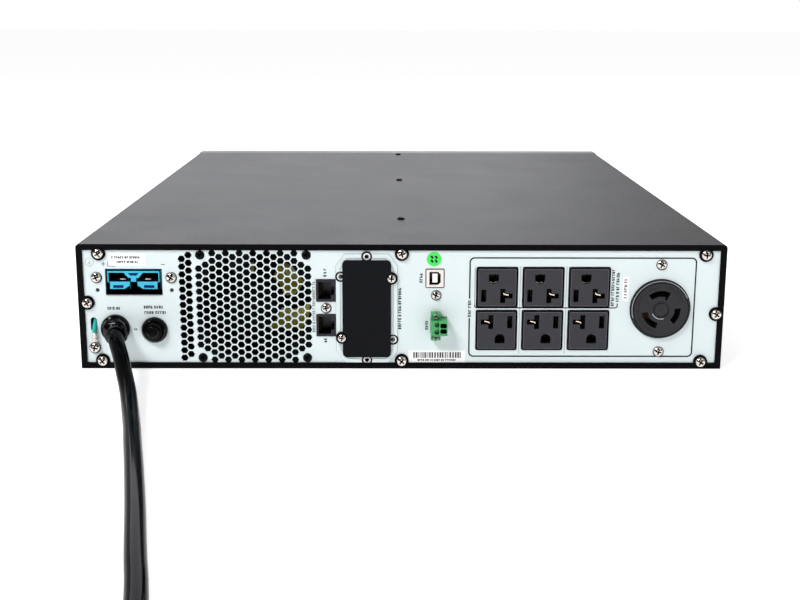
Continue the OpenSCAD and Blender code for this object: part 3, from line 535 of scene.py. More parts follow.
def make_cord():
    points = CORD_ROUTE + coil_points() + TAIL_ROUTE
    curve = bpy.data.curves.new("input_cord", "CURVE")
    curve.dimensions = "3D"
    curve.bevel_depth = CORD_D / 2 * MM
    curve.bevel_resolution = 8
    curve.resolution_u = 6
    curve.use_fill_caps = True
    spline = curve.splines.new("BEZIER")
    spline.bezier_points.add(len(points) - 1)
    for i, point in enumerate(points):
        knot = spline.bezier_points[i]
        knot.co = Vector(point) * MM
        knot.handle_left_type = knot.handle_right_type = "AUTO"
    curve.materials.append(M["cord_jacket"])
    cord = add_object("input_cord", curve)
    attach(cord, "chassis")
    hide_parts("power_cord", "cord_coil", "cord_tail")
    return cord


def cord_centre(y):
    """Where the cord's centreline is, in x and z, at depth y near the gland."""
    (x0, y0, z0), (x1, y1, z1) = CORD_ROUTE[:2]
    share = (y - y0) / (y1 - y0)
    return x0 + (x1 - x0) * share, z0 + (z1 - z0) * share


def squarish(angle, share):
    """Factor on a radius that turns a circle (share 0) into a slightly turned, rounded square (share 1)."""
    turn = math.radians(11)
    c, s = abs(math.cos(angle - turn)), abs(math.sin(angle - turn))
    return 1 + share * ((c ** 4 + s ** 4) ** -0.25 - 1)


def make_strain_relief():
    """Bevelled round flange and a squarish, tapering nose that turns with the cord."""
    centre = middle("strain_relief")
    low, high = box_mm("strain_relief")
    flange = (high.x - low.x) / 2
    inside, nose_end = PANEL_FACE - high.y, PANEL_FACE - low.y
    bore = CORD_D / 2 + 0.1
    # radius, height above the panel, squareness
    profile = [(flange - 1.8, inside, 0), (flange - 1.8, -0.1, 0), (flange, 0.0, 0), (flange, 2.6, 0),
               (flange - 0.4, 3.2, 0), (flange - 1.3, 4.2, 0.1), (8.0, 4.6, 0.6), (8.0, 7.6, 0.6),
               (7.4, 8.6, 0.7), (6.6, 8.9, 0.7), (6.4, 9.4, 0.4), (6.1, 9.7, 0.2), (6.1, 10.5, 0.1),
               (6.3, 10.8, 0.1), (6.2, 12.4, 0), (bore + 0.7, nose_end, 0), (bore, nose_end, 0),
               (bore, inside, 0)]
    bm = bmesh.new()
    rings = []
    for radius, height, square in profile:
        follow = min(1.0, max(0.0, (height - 3.5) / 4))
        x, z = cord_centre(PANEL_FACE - height)
        spot = rear(centre.x + (x - centre.x) * follow, centre.z + (z - centre.z) * follow, height)
        rings.append([bm.verts.new(spot @ polar(radius * squarish(a, square), a)) for a in full_turn(64)])
    ring_faces(bm, rings + [rings[0]], caps=False)
    finish_piece(bm, "cord_gland", "gland_plastic", slot="cord_jacket", replaces=["strain_relief"])


def make_plug():
    """Ribbed locking plug round the CAD plug's axis, which runs along X."""
    low, high = box_mm("plug_body")
    centre = (low + high) / 2
    radius, length = (high.z - low.z) / 2, high.x - low.x
    turn = shift(low.x, centre.y, centre.z) @ rotation(90, "Y")
    profile = [(5.4, 0), (8.0, 0), (8.6, 0.8)]
    for i in range(5):
        start, girth = 2.5 + 4 * i, 8.9 + i
        profile += [(girth, start), (girth + 0.3, start + 2.3), (girth - 0.9, start + 2.7),
                    (girth - 0.9, start + 3.5)]
    profile += [(radius - 6, 24), (radius - 3.4, 27), (radius - 2.2, 30), (radius - 2, 33), (radius - 2, 47),
                (radius - 2, 49), (radius - 0.6, 50.5), (radius, 52.5), (radius, length - 3),
                (radius - 0.8, length - 0.8), (radius - 2.2, length), (0.01, length)]

    def grip(angle, height):
        return 1 - 0.035 * max(0, math.cos(14 * angle)) if 32 < height < 48 else 1

    bm = bmesh.new()
    add_lathe(bm, profile, turn, 84, grip)
    body = finish_piece(bm, "plug_shell", "plug_plastic", slot="plug_plastic", replaces=["plug_body"])
    face = bmesh.new()
    add_lathe(face, [(radius - 5, length - 1), (radius - 5, length + 0.5), (radius - 5.5, length + 0.8),
                     (0.01, length + 0.8)], turn, 60)
    for side in (-1, 1):
        add_lathe(face, [(1.9, length), (1.9, length + 1.3), (1.3, length + 1.7), (0.01, length + 1.7)],
                  turn @ shift(0, side * (radius - 3), 0), 16)
    return body, finish_piece(face, "plug_face", "white_plastic", slot="plug_plastic")


def make_tie():
    """Flat strap round one side of the coil."""
    low, high = box_mm("cord_coil")
    centre = (low + high) / 2
    outer = (high.x - low.x) / 2
    inner = outer - CORD_D * (COIL_TURNS + 1)
    strap, width = 0.9, 13
    top = high.z + strap
    angle = math.radians(-125)
    radial = Vector((math.cos(angle), math.sin(angle), 0))
    spot = Matrix.Translation(centre.xy.to_3d() + radial * (outer + inner) / 2 + Vector((0, 0, top / 2)))
    spot = spot @ Matrix.Rotation(angle, 4, "Z") @ rotation(90, "X")
    bm = bmesh.new()
    loop = round_outline(outer - inner + strap, top - strap, 4.5)
    add_loop(bm, loop, strap, -width / 2, width / 2, spot)
    add_box(bm, (-4, top / 2, -width / 2), (13, top / 2 + strap, width / 2), spot)
    return finish_piece(bm, "coil_tie", "strap", bevel=0.2)


make_camera()
input_cord = make_cord()
make_strain_relief()
plug_shell, plug_face = make_plug()
coil_tie = make_tie()
make_stage()


# ---------- CAD nodes that stay ----------

def dress_cad_nodes():
    slots = {row["node"]: row["material_slot"] for row in frame["record"]["subparts"]}
    for node, slot in slots.items():
        paint(node, slot)
    for node in ("power_board", "control_board", "display_board"):
        paint(node, f"{node}_parts")
    paint("locking_outlet", "locking_face")
    soft_edges = {
        0.1: "card_cage", 0.15: "surge_jack_out surge_jack_in bay_divider",
        0.2: "usb_port epo_socket plug_blades", 0.25: "base_tray battery_connector epo_plug",
        0.3: "top_cover slot_cover drawer_tray display_window outlet_1 outlet_2 outlet_3 outlet_4 outlet_5 "
             "outlet_6",
        0.35: "locking_outlet",
        0.4: "fan_frame transformer_core power_button enter_button up_button down_button",
        0.5: "drawer_front breaker_button", 0.8: "front_bezel", 1.0: "transformer_coil", 1.2: "batteries"}
    for width, names in soft_edges.items():
        for node in names.split():
            soften(node, width)


dress_cad_nodes()


# ---------- screws ----------

def cross_outline(arm, width):
    """Outline of a plus sign, for a screw's cross recess."""
    w = width / 2
    return [(w, -arm), (w, -w), (arm, -w), (arm, w), (w, w), (w, arm),
            (-w, arm), (-w, w), (-arm, w), (-arm, -w), (-w, -w), (-w, -arm)]


def carve(bm, cutter):
    """Cuts the second bmesh out of the first and gives the result as a new bmesh."""
    shapes = []
    for part in (bm, cutter):
        bmesh.ops.recalc_face_normals(part, faces=part.faces)
        mesh = bpy.data.meshes.new("carving")
        part.to_mesh(mesh)
        part.free()
        shapes.append(add_object("carving", mesh))
    cut = shapes[0].modifiers.new("cut", "BOOLEAN")
    cut.operation = "DIFFERENCE"
    cut.solver = "EXACT"
    cut.object = shapes[1]
    solid = shapes[0].evaluated_get(bpy.context.evaluated_depsgraph_get())
    result = bmesh.new()
    result.from_mesh(solid.to_mesh())
    for shape in shapes:
        bpy.data.objects.remove(shape)
    return result


def make_screws(node, finish, body="chassis"):
    """Pan heads with painted shade in the cross recess and a black ring as painted shadow under each head,
    in place of a CAD node's plainer screws.
    """
    name = node.replace("_", "_pan_")
    rng = random.Random(name)
    heads, cuts, dark = meshes(3)
    for low, high in islands(node):
        radius = (high.x - low.x) / 2
        height = 0.66 * radius
        centre = (low + high) / 2
        if node == "cover_screws":
            spot = shift(centre.x, centre.y, high.z - height)
            shank = high.z - height - low.z
        else:
            spot = rear(centre.x, centre.z, PANEL_FACE - low.y - height)
            shank = high.y - low.y - height
        # Black ring a little wider than the head and set off down and to the right: painted shadow of the
        # head.
        add_lathe(dark, [(radius + 0.4, 0.0), (radius + 0.4, 0.12), (radius - 0.5, 0.14)],
                  spot @ shift(0.12, -0.22, 0), 28)
        spot = spot @ Matrix.Rotation(rng.uniform(0, math.pi), 4, "Z")
        add_lathe(heads, [(1.4, -shank), (1.4, -0.02), (radius * 0.96, 0), (radius, 0.22 * height),
                          (0.95 * radius, 0.5 * height), (0.8 * radius, 0.8 * height),
                          (0.52 * radius, 0.96 * height), (0.01, height)], spot, 28)
        add_prism(cuts, cross_outline(0.62 * radius, 0.3 * radius), 0.2 * height, height + 1, spot)
        # Black floor in the cross recess: painted shade.
        add_prism(dark, cross_outline(0.61 * radius, 0.29 * radius), 0.2 * height, 0.45 * height, spot)
    finish_piece(dark, f"{name}_painted_shadows", "painted_shade_black", body, smooth=False)
    finish_piece(carve(heads, cuts), name, finish, body, finish, [node])


make_screws("rear_screws", "bright_screws")
make_screws("ground_screw", "bright_screws")
make_screws("slot_screws", "bright_screws", "slot_cover")
make_screws("fan_screws", "black_screws")
make_screws("cover_screws", "black_screws")


def make_side_screws():
    """Low heads along the bottom edge of both side walls."""
    bm = bmesh.new()
    for side, wall in ((-1, CASE_LOW.x), (1, CASE_HIGH.x)):
        for y in (-268, -134, 0, 120, 236):
            spot = shift(wall, y, 8) @ rotation(90 * side, "Y")
            profile = [(2.6, -0.2), (2.6, 0.2), (2.2, 0.6), (1.2, 0.62), (1.0, 0.3), (0.01, 0.28)]
            add_lathe(bm, profile, spot, 24)
    finish_piece(bm, "side_screws", "black_screws")


make_side_screws()


# ---------- fan, breaker, ground lead ----------

def make_fan():
    low, high = box_mm("fan_rotor")
    centre = (low + high) / 2
    hub, tip, depth, thick = 17.5, (high.x - low.x) / 2 - 0.3, high.y - low.y, 1.3
    base = shift(centre.x, high.y, centre.z) @ rotation(90, "X")
    bm = bmesh.new()
    add_lathe(bm, [(hub - 1.5, 0), (hub, 1), (hub, depth - 2.4), (hub - 0.7, depth - 0.9),
                   (hub - 2, depth - 0.2), (0.01, depth)], base, 48)
    blades, chord, sweep = 5, math.radians(27), math.radians(14)
    steps = 6
    for blade in range(blades):
        start = 2 * math.pi * (blade + 0.76) / blades
        rings = []
        for i in range(steps + 1):
            share = i / steps
            radius = hub - 1 + (tip - hub + 1) * share
            edge = []
            for j in range(steps + 1):
                across = j / steps
                angle = start + sweep * share * share + chord * across
                height = 3 + (depth - 7) * across ** 1.2
                edge.append((radius * math.cos(angle), radius * math.sin(angle), height))
            under = [(x, y, h - thick) for x, y, h in reversed(edge)]
            rings.append([bm.verts.new(base @ Vector(point)) for point in edge + under])
        ring_faces(bm, rings)
    finish_piece(bm, "fan_wheel", "fan_plastic", "fan_rotor", "fan_plastic", ["fan_rotor"])


def make_breaker_ring():
    low, high = box_mm("breaker_nut")
    outer, height = (high.x - low.x) / 2 - 0.1, high.y - low.y
    bm = bmesh.new()
    add_tube_ring(bm, [(6.15, 0), (outer - 0.3, 0), (outer, 0.6), (outer - 0.1, 1.8), (outer - 0.9, 3.1),
                       (outer - 2.0, height), (6.9, height), (6.15, height - 0.7)],
                  rear_middle(low, high), 64)
    finish_piece(bm, "breaker_ring", "breaker_plastic", slot="breaker_plastic", replaces=["breaker_nut"])


def smooth_path(points, steps):
    """Points of a Catmull-Rom line through the given ones."""
    points = [Vector(p) for p in points]
    made = []
    for i in range(len(points) - 1):
        a, b = points[max(i - 1, 0)], points[i]
        c, d = points[i + 1], points[min(i + 2, len(points) - 1)]
        for step in range(steps):
            t = step / steps
            made.append(0.5 * (2 * b + (c - a) * t + (2 * a - 5 * b + 4 * c - d) * t * t
                               + (3 * b - a - 3 * c + d) * t ** 3))
    return made + [points[-1]]


def add_pipe(bm, points, radius, matrix, sides=20):
    """A round wire along points."""
    side = None
    rings = []
    for i, here in enumerate(points):
        way = (points[min(i + 1, len(points) - 1)] - points[max(i - 1, 0)]).normalized()
        side = way.orthogonal() if side is None else side - way * side.dot(way)
        side.normalize()
        up = way.cross(side)
        rings.append([bm.verts.new(matrix @ (here + radius * (side * math.cos(a) + up * math.sin(a))))
                      for a in full_turn(sides)])
    ring_faces(bm, rings)


def make_ground_lead():
    """Green wire that leaves the slot and ends in a crimped ring lug under the ground screw."""
    wire_x = box_mm("ground_wire")[0].x + 4.2
    lug = middle("ground_screw")
    route = [(0, 40, -4), (0, 36, -4), (0, 33, -2.8), (0, 30.5, -0.6), (0, 28, 1.4), (0, 25, 2)]
    wire = bmesh.new()
    add_pipe(wire, smooth_path(route, 4), 1.5, rear(wire_x, 0))
    finish_piece(wire, "ground_wire_jacket", "ground_lead", slot="ground_lead", replaces=["ground_wire"])
    metal = bmesh.new()
    upright = rear(wire_x, 19.2, 2.0) @ rotation(-90, "X")
    add_lathe(metal, [(1.6, 0), (1.9, 0.3), (1.9, 2.2), (1.45, 2.6), (1.45, 3.5), (1.85, 3.9), (1.95, 6.1),
                      (1.6, 6.4)], upright, 24)
    add_tube_ring(metal, [(2.3, 0.02), (3.9, 0.02), (3.9, 1.5), (2.3, 1.5)], rear(lug.x, lug.z), 40)
    add_box(metal, (-1.7, 3.2, 0.02), (1.7, 5.5, 1.45), rear(lug.x, lug.z))
    finish_piece(metal, "ground_lug", "tin", bevel=0.1)


make_fan()
make_breaker_ring()
make_ground_lead()


# ---------- sockets on the service panel ----------

def make_battery_socket_details():
    """Web with a tab between the two cavities, painted shade in the recesses, lower corners and gap round the
    housing, and painted light on the lower lip of the cut-out.
    """
    spot = middle("battery_contacts")
    low, high = box_mm("battery_connector")
    centre_z = (low.z + high.z) / 2
    place = rear(spot.x, centre_z, 0.0)
    web = bmesh.new()
    add_prism(web, [(3.4, 2.9), (6.6, 6.6), (-6.6, 6.6), (-3.4, 2.9)], -1.6, 0.62, place)
    finish_piece(web, "connector_web", "connector_blue", slot="connector_blue", bevel=0.15)
    navy, dark = meshes(2)
    # Navy plates on the tab and on the shelves: painted shade of their recesses.
    add_prism(navy, [(1.9, 4.6), (3.9, 6.4), (-3.9, 6.4), (-1.9, 4.6)], 0.5, 0.68, place)
    for side in (-1, 1):
        add_box(navy, (side * 10.4 - 3.5, -3.9, 0.5), (side * 10.4 + 3.5, -2.0, 0.68), place)
        # Black corners and side strips: painted shade in the lower cavities.
        corner = [(side * 2.6, -4.8), (side * 6.6, -4.8), (side * 2.6, -2.2)]
        add_prism(dark, corner[::side], 0.5, 0.7, place)
        left, right = sorted((side * 16.0, side * 18.35))
        add_box(dark, (left, -8.4, 0.5), (right, 0.1, 0.7), place)
    # Black loop: painted shadow in the gap round the housing.
    rim = [(-17.9, -8.1), (-17.9, 8.1), (17.9, 8.1), (17.9, -8.1)]
    add_loop(dark, rim, 0.75, 0.5, 0.66, place)
    finish_piece(navy, "connector_windows", "navy", slot="connector_blue")
    finish_piece(dark, "connector_shades", "painted_shade_black", slot="connector_blue")
    make_boxes("connector_tongues", "tin", [((x - 1.9, 1.5, -6), (x + 1.9, 2.0, -1.4)) for x in (-7.6, 9.4)],
               place, slot="contact_metal", bevel=0.1)
    # Grey strip: painted light on the lower lip of the cut-out.
    make_boxes("connector_lip", "light_grey_and_lit_lip", [((-18.2, -9.7, 0.01), (18.2, -8.7, 0.12))], place, bevel=0.03)


def make_usb_details():
    low, high = box_mm("usb_port")
    spot = rear_middle(low, high)
    make_boxes("usb_tongue", "white_plastic", [((-1.8, -3.1, -10.9), (1.8, 3.1, -0.7))], spot,
               slot="port_shell", bevel=0.2)
    edge = bmesh.new()
    outline = round_outline(high.x - low.x + 0.5, high.z - low.z + 0.5, 0.6)
    add_loop(edge, outline, 0.85, 0.02, 0.2, spot)
    finish_piece(edge, "usb_edge", "brown_edge")


def make_epo_details():
    """Wire openings on the plug's right half, a groove on its left, and a screw in each end lug; black blocks
    paint the shade inside the openings, the groove and the screw slots.
    """
    low, high = box_mm("epo_plug")
    face = PANEL_FACE - low.y
    spot = rear_middle(low, high)
    dark, steel, lug = meshes(3)
    for side in (-1, 1):
        # Black blocks: painted shade inside the wire openings.
        add_prism(dark, round_outline(4.4, 3.2, 1.1), face - 0.4, face + 0.05,
                  spot @ shift(2.9, side * 1.9, 0))
        screw = spot @ shift(-2.2, side * 7.3, 0)
        add_tube_ring(lug, [(1.9, 5.0), (2.7, 5.0), (2.7, 7.4), (1.9, 7.4)], screw, 4)
        add_tube_ring(steel, [(0.4, 5.0), (1.9, 5.0), (1.9, 7.5), (1.2, 7.9), (0.4, 7.5)], screw, 24)
        # Black bar: painted shade in the screw's slot.
        add_box(dark, (-1.5, -0.35, 7.3), (1.5, 0.35, 7.86), screw)
    # Black line: painted shade in the groove.
    add_box(dark, (-0.9, -4.6, face - 0.3), (-0.55, 4.6, face + 0.03), spot)
    finish_piece(dark, "epo_openings", "painted_shade_black", "epo_plug")
    finish_piece(steel, "epo_end_screws", "dull_screws", "epo_plug")
    finish_piece(lug, "epo_screw_rims", "dark_green", "epo_plug", smooth=False)


def make_outlet_details():
    """Painted shadow in the gap round every outlet, painted shade inside each face's edge and a painted
    highlight loop on it, painted shade lines between the columns, and bright wipers in the slots.
    """
    shade_loops, shade_strokes, highlight_loops, wipers = meshes(4)
    for i in range(1, 7):
        low, high = box_mm(f"outlet_{i}")
        spot = rear_middle(low, high)
        width = high.x - low.x + 0.5
        face = PANEL_FACE - low.y
        # Black loop: painted shadow in the gap round the outlet.
        add_loop(shade_loops, round_outline(width, width, 1.4), 0.8, 0.02, 0.1, spot)
        inner = round_outline(width - 1.2, width - 1.2, 1.1)
        highlight_outline = round_outline(width - 2.4, width - 2.4, 0.8)
        # Black loop: painted shade just inside the face's edge.
        add_loop(shade_loops, inner, 0.6, face, face + 0.03, spot)
        # Grey loop: painted highlight on the face.
        add_loop(highlight_loops, highlight_outline, 0.35, face, face + 0.08, spot)
        if i > 3:
            spot = spot @ Matrix.Rotation(math.pi, 4, "Z")
        leaf = [(4.3, -4.2), (4.5, -5.2), (6.0, -5.8), (8.2, -6.2), (8.0, -5.3), (5.6, -4.9), (5.0, -4.3)]
        add_prism(wipers, leaf, -7, -1.6, spot)
        ground_lip = arc(3.35, -130, -50, 10, -2.4, 5.9) + arc(2.9, -50, -130, -10, -2.4, 5.9)
        add_prism(wipers, ground_lip, -4, -1.4, spot)
    first, second = box_mm("outlet_1"), box_mm("outlet_2")
    low_z, high_z = box_mm("outlet_4")[0].z - 3, first[1].z + 1
    for i in range(2):
        x = (first[1].x + second[0].x) / 2 + i * (second[0].x - first[0].x)
        # Grey line: painted shade between two outlet columns.
        add_stroke(shade_strokes, [(x, low_z), (x, high_z)], 0.8, 0.02, 0.05, rear(0, 0))
    finish_piece(shade_loops, "outlet_shade_loops", "painted_shade_black", smooth=False)
    finish_piece(shade_strokes, "outlet_shade_strokes", "shade_and_highlight_grey", smooth=False)
    finish_piece(highlight_loops, "outlet_highlight_loops", "painted_highlight_plastic", smooth=False)
    finish_piece(wipers, "outlet_wipers", "wiper_brass", slot="contact_metal", bevel=0.1)


def make_locking_details():
    """Painted shadow in the gap and painted shade at the face's step, painted highlights on the rim's edge
    and below the hub, a hub ring and worn relief marks of the locking outlet.
    """
    low, high = box_mm("locking_outlet")
    spot = rear_middle(low, high)
    radius, face = (high.x - low.x) / 2, PANEL_FACE - low.y
    dark, bright, relief = meshes(3)
    # Black loops: painted shadow in the gap round the outlet, and painted shade at the face's step.
    add_loop(dark, circle_outline(radius + 0.25, 64), 0.7, 0.02, 0.1, spot)
    add_loop(dark, circle_outline(radius - 1.5, 64), 0.4, face, face + 0.04, spot)
    # Grey arcs: painted highlights on the rim's edge and below the hub.
    add_stroke(bright, arc(radius - 0.7, 24, 198, 6), 0.4, 2.0, 2.08, spot)
    add_stroke(bright, arc(6.3, 204, 288, 6), 0.4, face, face + 0.06, spot)
    add_tube_ring(relief, [(5.2, face), (5.9, face), (5.7, face + 0.3), (5.3, face + 0.3)], spot, 48)
    rng = random.Random("relief")
    for angle in list(range(102, 250, 7)) + list(range(24, 78, 7)):
        mark = spot @ rotation(angle, "Z")
        reach = rng.uniform(15.4, 16.8)
        add_box(relief, (14.4, -0.25, face), (reach, 0.25, face + 0.25), mark)
        add_box(relief, (reach - 0.5, -0.25, face), (reach, 0.9, face + 0.25), mark)
    finish_piece(dark, "locking_shadow_lines", "painted_shade_black", smooth=False)
    finish_piece(bright, "locking_painted_highlights", "shade_and_highlight_grey", smooth=False)
    finish_piece(relief, "locking_relief", "locking_face", slot="outlet_plastic", smooth=False)


def make_nut_rings():
    """Black ring and pale face round each threaded insert of the card slot; the black ring is painted shade
    of the gap round the insert.
    """
    black, pale = meshes(2)
    for low, high in islands("slot_nuts"):
        spot = rear_middle(low, high)
        # Raised black ring: painted shade of the gap round the insert.
        add_tube_ring(black, [(2.5, 0.02), (3.65, 0.02), (3.65, 0.5), (3.4, 0.72), (2.7, 0.72), (2.5, 0.5)],
                      spot, 40)
        add_tube_ring(pale, [(1.5, 0.02), (2.5, 0.02), (2.5, 0.3), (1.7, 0.4), (1.5, 0.3)], spot, 32)
    finish_piece(black, "nut_rings", "black_screws")
    finish_piece(pale, "nut_faces", "white_plastic")


make_battery_socket_details()
make_usb_details()
make_epo_details()
make_nut_rings()
make_outlet_details()
make_locking_details()


# ---------- print and labels on the service panel ----------

PRINT = 0.03
INK_THICKNESS = 0.06
INK_TOP = PRINT + INK_THICKNESS
STICKER_TOP = 0.08
outlet_boxes = [box_mm(f"outlet_{i}") for i in range(1, 7)]
OUTLETS_LEFT = min(low.x for low, high in outlet_boxes)
OUTLETS_TOP = max(high.z for low, high in outlet_boxes)
locking = middle("locking_contacts")
jack_out, jack_in = middle("surge_jack_out"), middle("surge_jack_in")
slot_mid = middle("card_cage")
usb_mid, epo_mid = middle("usb_port"), middle("epo_plug")
breaker_mid, gland_mid = middle("breaker_nut"), middle("strain_relief")
battery_mid = middle("battery_contacts")


def add_greek(bm, x, z, length, height, seed, vertical=False, base=PRINT):
    """A row of small broken strokes that passes for print but spells nothing."""
    line = 0.52
    rng = random.Random(seed)
    spot = rear(x, z) @ rotation(90 if vertical else 0, "Z")
    low, high = -height / 2, height / 2
    at = -length / 2
    while at < length / 2 - 0.5:
        width = rng.uniform(0.7, 1.2) * height * 0.62
        width = min(width, length / 2 - at)
        bar = rng.uniform(low + line, high - line)
        marks = [(at, low, at + line, high)]
        if rng.random() < 0.6:
            marks.append((at, bar, at + width, bar + line))
        else:
            marks.append((at, high - line, at + width, high))
        if rng.random() < 0.5:
            marks.append((at + width - line, low, at + width, rng.uniform(bar, high)))
        for x0, y0, x1, y1 in marks:
            add_box(bm, (x0, y0, base), (x1, y1, base + INK_THICKNESS), spot)
        at += width + height * rng.choice([0.22, 0.22, 0.28, 0.6])


def add_paper(bm, x, z, width, height):
    add_prism(bm, round_outline(width, height, 0.4, 3), 0.02, 0.07, rear(x, z))


def make_outlet_frame(bm):
    """Rounded line round all the outlets, open on the left for a label."""
    low_x, high_x = OUTLETS_LEFT - 4.9, locking.x + 23
    low_z, high_z = 8.6, OUTLETS_TOP + 6.7
    r = 3
    label_low, label_high = 35.4, 49
    path = [(low_x, label_low)]
    for x, y, start in ((low_x + r, low_z + r, 180), (high_x - r, low_z + r, 270),
                        (high_x - r, high_z - r, 0), (low_x + r, high_z - r, 90)):
        path += arc(r, start, start + 90, 15, x, y)
    path += [(low_x, label_high)]
    add_stroke(bm, path, 0.95, PRINT, INK_TOP, rear(0, 0))
    hook_l, hook_r, row = low_x + 3.5, 146.4, 42.7
    bracket = [(hook_l, row + 2.2)] + arc(1.5, 180, 270, 15, hook_l + 1.5, row + 1.5)
    bracket += arc(1.5, 270, 360, 15, hook_r - 1.5, row + 1.5) + [(hook_r, row + 3)]
    add_stroke(bm, bracket, 0.75, PRINT, INK_TOP, rear(0, 0))
    return hook_l, row


def make_print():
    ink, pale, paper = meshes(3)
    flat = rear(0, 0)

    def line(bm, points, width, closed=False):
        add_stroke(bm, points, width, PRINT, INK_TOP, flat, closed)

    hook_x, row = make_outlet_frame(ink)
    line(pale, [(hook_x, row + 2.4), (hook_x, OUTLETS_TOP)], 0.6)

    # Battery connector: sticker with two lines, plus and minus signs, corner line, earth sign
    x = battery_mid.x
    add_paper(paper, x - 4.1, 75.7, 24.7, 8.4)
    add_greek(ink, x - 4.1, 77.2, 20.5, 1.5, "sticker-top", base=STICKER_TOP)
    add_greek(ink, x - 3.6, 74.1, 14.5, 1.5, "sticker-low", base=STICKER_TOP)
    line(ink, [(x - 21.3, 72.7), (x - 18.7, 72.7)], 0.4)
    line(ink, [(x - 20, 71.4), (x - 20, 74)], 0.4)
    line(ink, [(x + 18.9, 72.3), (x + 21.3, 72.3)], 0.4)
    line(ink, [(x - 17, 74.2), (x - 17, 71.3), (x - 12, 71.0)], 0.3)
    earth_x = -210.3
    line(pale, circle_outline(2.8, 32, earth_x, 74), 0.3, closed=True)
    line(pale, [(earth_x, 75.6), (earth_x, 73.7)], 0.25)
    for i, width in enumerate((2.6, 1.7, 0.8)):
        z = 73.6 - 0.55 * i
        line(pale, [(earth_x - width / 2, z), (earth_x + width / 2, z)], 0.25)

    # Captions, lying and upright: x, z, length, height and a name that seeds the strokes
    for caption in ((gland_mid.x - 0.7, 42, 8.6, 2.0, "cord"),
                    (breaker_mid.x - 0.4, 42.9, 12.7, 2.0, "breaker-1"),
                    (breaker_mid.x + 0.7, 39.1, 14.5, 2.0, "breaker-2")):
        add_greek(ink, *caption)
    add_greek(pale, -180.9, 27.3, 2.8, 1.3, "mark")
    for caption in ((OUTLETS_LEFT - 4.9, 42.2, 12, 2.1, "group"),
                    (jack_out.x - 0.6, jack_out.z + 12.3, 5.5, 2.0, "out"),
                    (jack_in.x - 0.6, jack_in.z - 10.7, 2.8, 2.0, "in"),
                    (slot_mid.x + 22.4, slot_mid.z, 28.6, 2.0, "slot"),
                    (usb_mid.x - 9.4, usb_mid.z + 0.3, 6.8, 2.0, "usb"),
                    (epo_mid.x - 8.2, epo_mid.z - 0.5, 6.1, 2.0, "epo"),
                    (143.0, 57.2, 26.3, 2.0, "outlets-1"), (146.3, 57, 20, 2.0, "outlets-2")):
        add_greek(ink, *caption, vertical=True)
    add_greek(pale, jack_out.x - 8.3, 43.1, 35, 1.9, "jacks", vertical=True)
    add_paper(paper, 151.7, 56, 4.2, 17)
    add_greek(ink, 151.7, 56, 13, 2.0, "outlets-3", vertical=True, base=STICKER_TOP)

    # Asset label with plain stripes that encode nothing
    add_paper(paper, 24, 7.8, 38.7, 9.6)
    rng = random.Random("stripes")
    at = 8.0
    while at < 40:
        width = rng.choice([0.35, 0.35, 0.7, 1.0])
        add_box(ink, (at, 7.4, STICKER_TOP), (at + width, 11.4, STICKER_TOP + INK_THICKNESS), flat)
        at += width + rng.choice([0.35, 0.6, 0.9])
    add_greek(ink, 24, 5.9, 26, 1.3, "label", base=STICKER_TOP)
    finish_piece(ink, "panel_ink", "ink", smooth=False)
    finish_piece(pale, "panel_pale_ink", "pale_ink_and_shade", smooth=False)
    finish_piece(paper, "panel_labels", "label_paper", smooth=False)

    dot = bmesh.new()
    add_prism(dot, circle_outline(5, 48), 0.02, 0.07, rear(usb_mid.x - 0.7, 76.3))
    finish_piece(dot, "inspection_dot", "green_dot", smooth=False)
    tick = bmesh.new()
    for x in (-1.4, 1.4):
        for z in (-1.35, 1.35):
            dab = [(x - 0.6, z + 0.9), (x + 0.6, z - 0.9)]
            add_stroke(tick, dab, 1.4, 0.07, 0.12, rear(usb_mid.x - 0.7, 76.3))
    finish_piece(tick, "inspection_tick", "ink", smooth=False)


def make_slot_folds():
    """Painted shade lines along the edge and the fold of the card slot's raised border."""
    wide, tall = 41.6, 75.4
    bm = bmesh.new()
    for inset, height, width in ((0.0, 0.02, 0.45), (2.8, 0.82, 0.3)):
        w, h = wide / 2 - inset, tall / 2 - inset
        cx, cz = 6 - inset * 0.3, 8 - inset * 0.3
        outline = [(w - cx, -h), (w, -h + cz), (w, h - cz), (w - cx, h),
                   (-w + cx, h), (-w, h - cz), (-w, -h + cz), (-w + cx, -h)]
        # Pale loops: painted shade along the border's edge and along its fold.
        add_loop(bm, outline, width, height, height + 0.06, rear(slot_mid.x, slot_mid.z))
    finish_piece(bm, "slot_fold_shade_lines", "pale_ink_and_shade", smooth=False)


make_print()
make_slot_folds()


# ---------- front face ----------

def make_display():
    """Generic screen behind the window: a frame, level bars and two rows of blank characters."""
    low, high = box_mm("display_window")
    spot = front_middle(low, high, low.y - FRONT_Y - 0.07)
    make_boxes("screen", "lcd", [((-33, -16.5, 0), (33, 16.5, 0.02))], spot, smooth=False)
    marks = bmesh.new()
    for side in (-1, 1):
        for i in range(5):
            height = 3 + 2.4 * i
            left = side * 22 - 7 + 3 * i
            add_box(marks, (left, -11, 0.03), (left + 2, -11 + height, 0.05), spot)
    for row in range(2):
        for i in range(9):
            add_box(marks, (-10.5 + 2.4 * i, 6 - 6 * row, 0.03), (-8.9 + 2.4 * i, 9 - 6 * row, 0.05), spot)
    add_loop(marks, round_outline(62, 29, 1.5, 3), 0.5, 0.03, 0.05, spot)
    finish_piece(marks, "screen_marks", "lcd_dark", smooth=False)


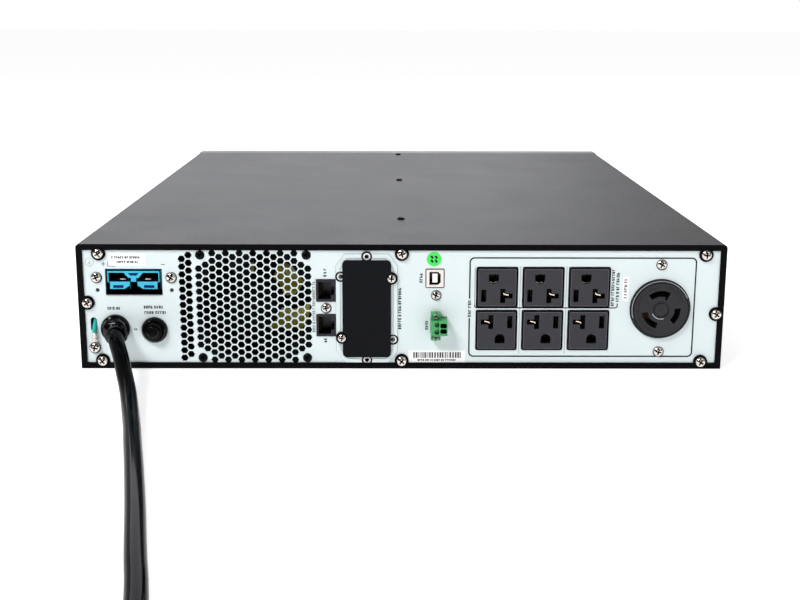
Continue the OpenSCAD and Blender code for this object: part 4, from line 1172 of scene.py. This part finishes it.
def make_button_icons():
    """Raised signs: power, tick, up and down."""
    icons = {"power_button": [arc(2.0, 50, -230, -14), [(0, 0.4), (0, 2.5)]],
             "enter_button": [[(-1.8, 0.2), (-0.5, -1.4), (2, 1.7)]],
             "up_button": [[(-1.8, -0.8), (0, 1.3), (1.8, -0.8)]],
             "down_button": [[(-1.8, 0.8), (0, -1.3), (1.8, 0.8)]]}
    for node, strokes in icons.items():
        low, high = box_mm(node)
        spot = front_middle(low, high, high.y - FRONT_Y)
        bm = bmesh.new()
        for stroke in strokes:
            add_stroke(bm, stroke, 0.6, 0.01, 0.1, spot)
        finish_piece(bm, f"{node}_sign", "ink", node, smooth=False)


def make_front_details():
    low, high = box_mm("display_window")
    lamp_x = high.x + 6
    for i, name in enumerate(("lamp_green", "lamp_amber", "lamp_red")):
        spot = front(lamp_x, high.z - 8 - 12 * i)
        lens = bmesh.new()
        add_lathe(lens, [(1.5, -0.5), (1.5, 0.3), (1.1, 0.8), (0.01, 1.0)], spot, 24)
        finish_piece(lens, name, name)
        ring = bmesh.new()
        add_tube_ring(ring, [(1.6, 0.0), (2.3, 0.0), (2.1, 0.4), (1.6, 0.4)], spot, 28)
        finish_piece(ring, f"{name}_ring", "light_grey_and_lit_lip")
    rim = bmesh.new()
    add_loop(rim, round_outline(72.5, 38.5, 4), 1.2, 0.0, 0.5, front_middle(low, high))
    finish_piece(rim, "window_rim", "light_grey_and_lit_lip", bevel=0.2)
    drawer_low, drawer_high = box_mm("drawer_front")
    make_boxes("dust_filters", "strap",
               [((left, FRONT_Y - 6.5, 14), (left + 102, FRONT_Y - 3.4, 72))
                for left in (drawer_low.x + 15, drawer_low.x + 191)], body="battery_drawer")
    make_boxes("recess_ribs", "bezel_plastic",
               [((left, FRONT_Y - 11.8, 30), (left + 2.4, FRONT_Y - 11.2, 54))
                for left in [drawer_low.x + 130 + 6 * i for i in range(9)]], body="battery_drawer", bevel=0.2)
    make_boxes("trim_strip", "light_grey_and_lit_lip",
               [((drawer_low.x + 6, FRONT_Y - 0.2, 7.6), (drawer_high.x - 6, FRONT_Y + 0.3, 9.2))],
               body="battery_drawer", bevel=0.15)


def make_battery_lids():
    """Vent caps and a blank label on each battery in the drawer."""
    narrowest, height = 50, 65
    caps, labels = meshes(2)
    for low, high in islands("batteries"):
        if high.x - low.x < narrowest:
            continue
        x, y = (low.x + high.x) / 2, (low.y + high.y) / 2
        top = low.z + height
        for i in range(6):
            spot = shift(x, y + (i - 2.5) * 15, top)
            add_lathe(caps, [(4.5, 0), (4.5, 0.7), (3.8, 1.1), (0.01, 1.1)], spot, 24)
        add_box(labels, (x + 14, y - 40, top), (x + 38, y + 40, top + 0.1))
    finish_piece(caps, "battery_caps", "plug_plastic", "battery_drawer")
    finish_piece(labels, "battery_labels", "label_paper", "battery_drawer", smooth=False)


make_display()
make_button_icons()
make_front_details()
make_battery_lids()
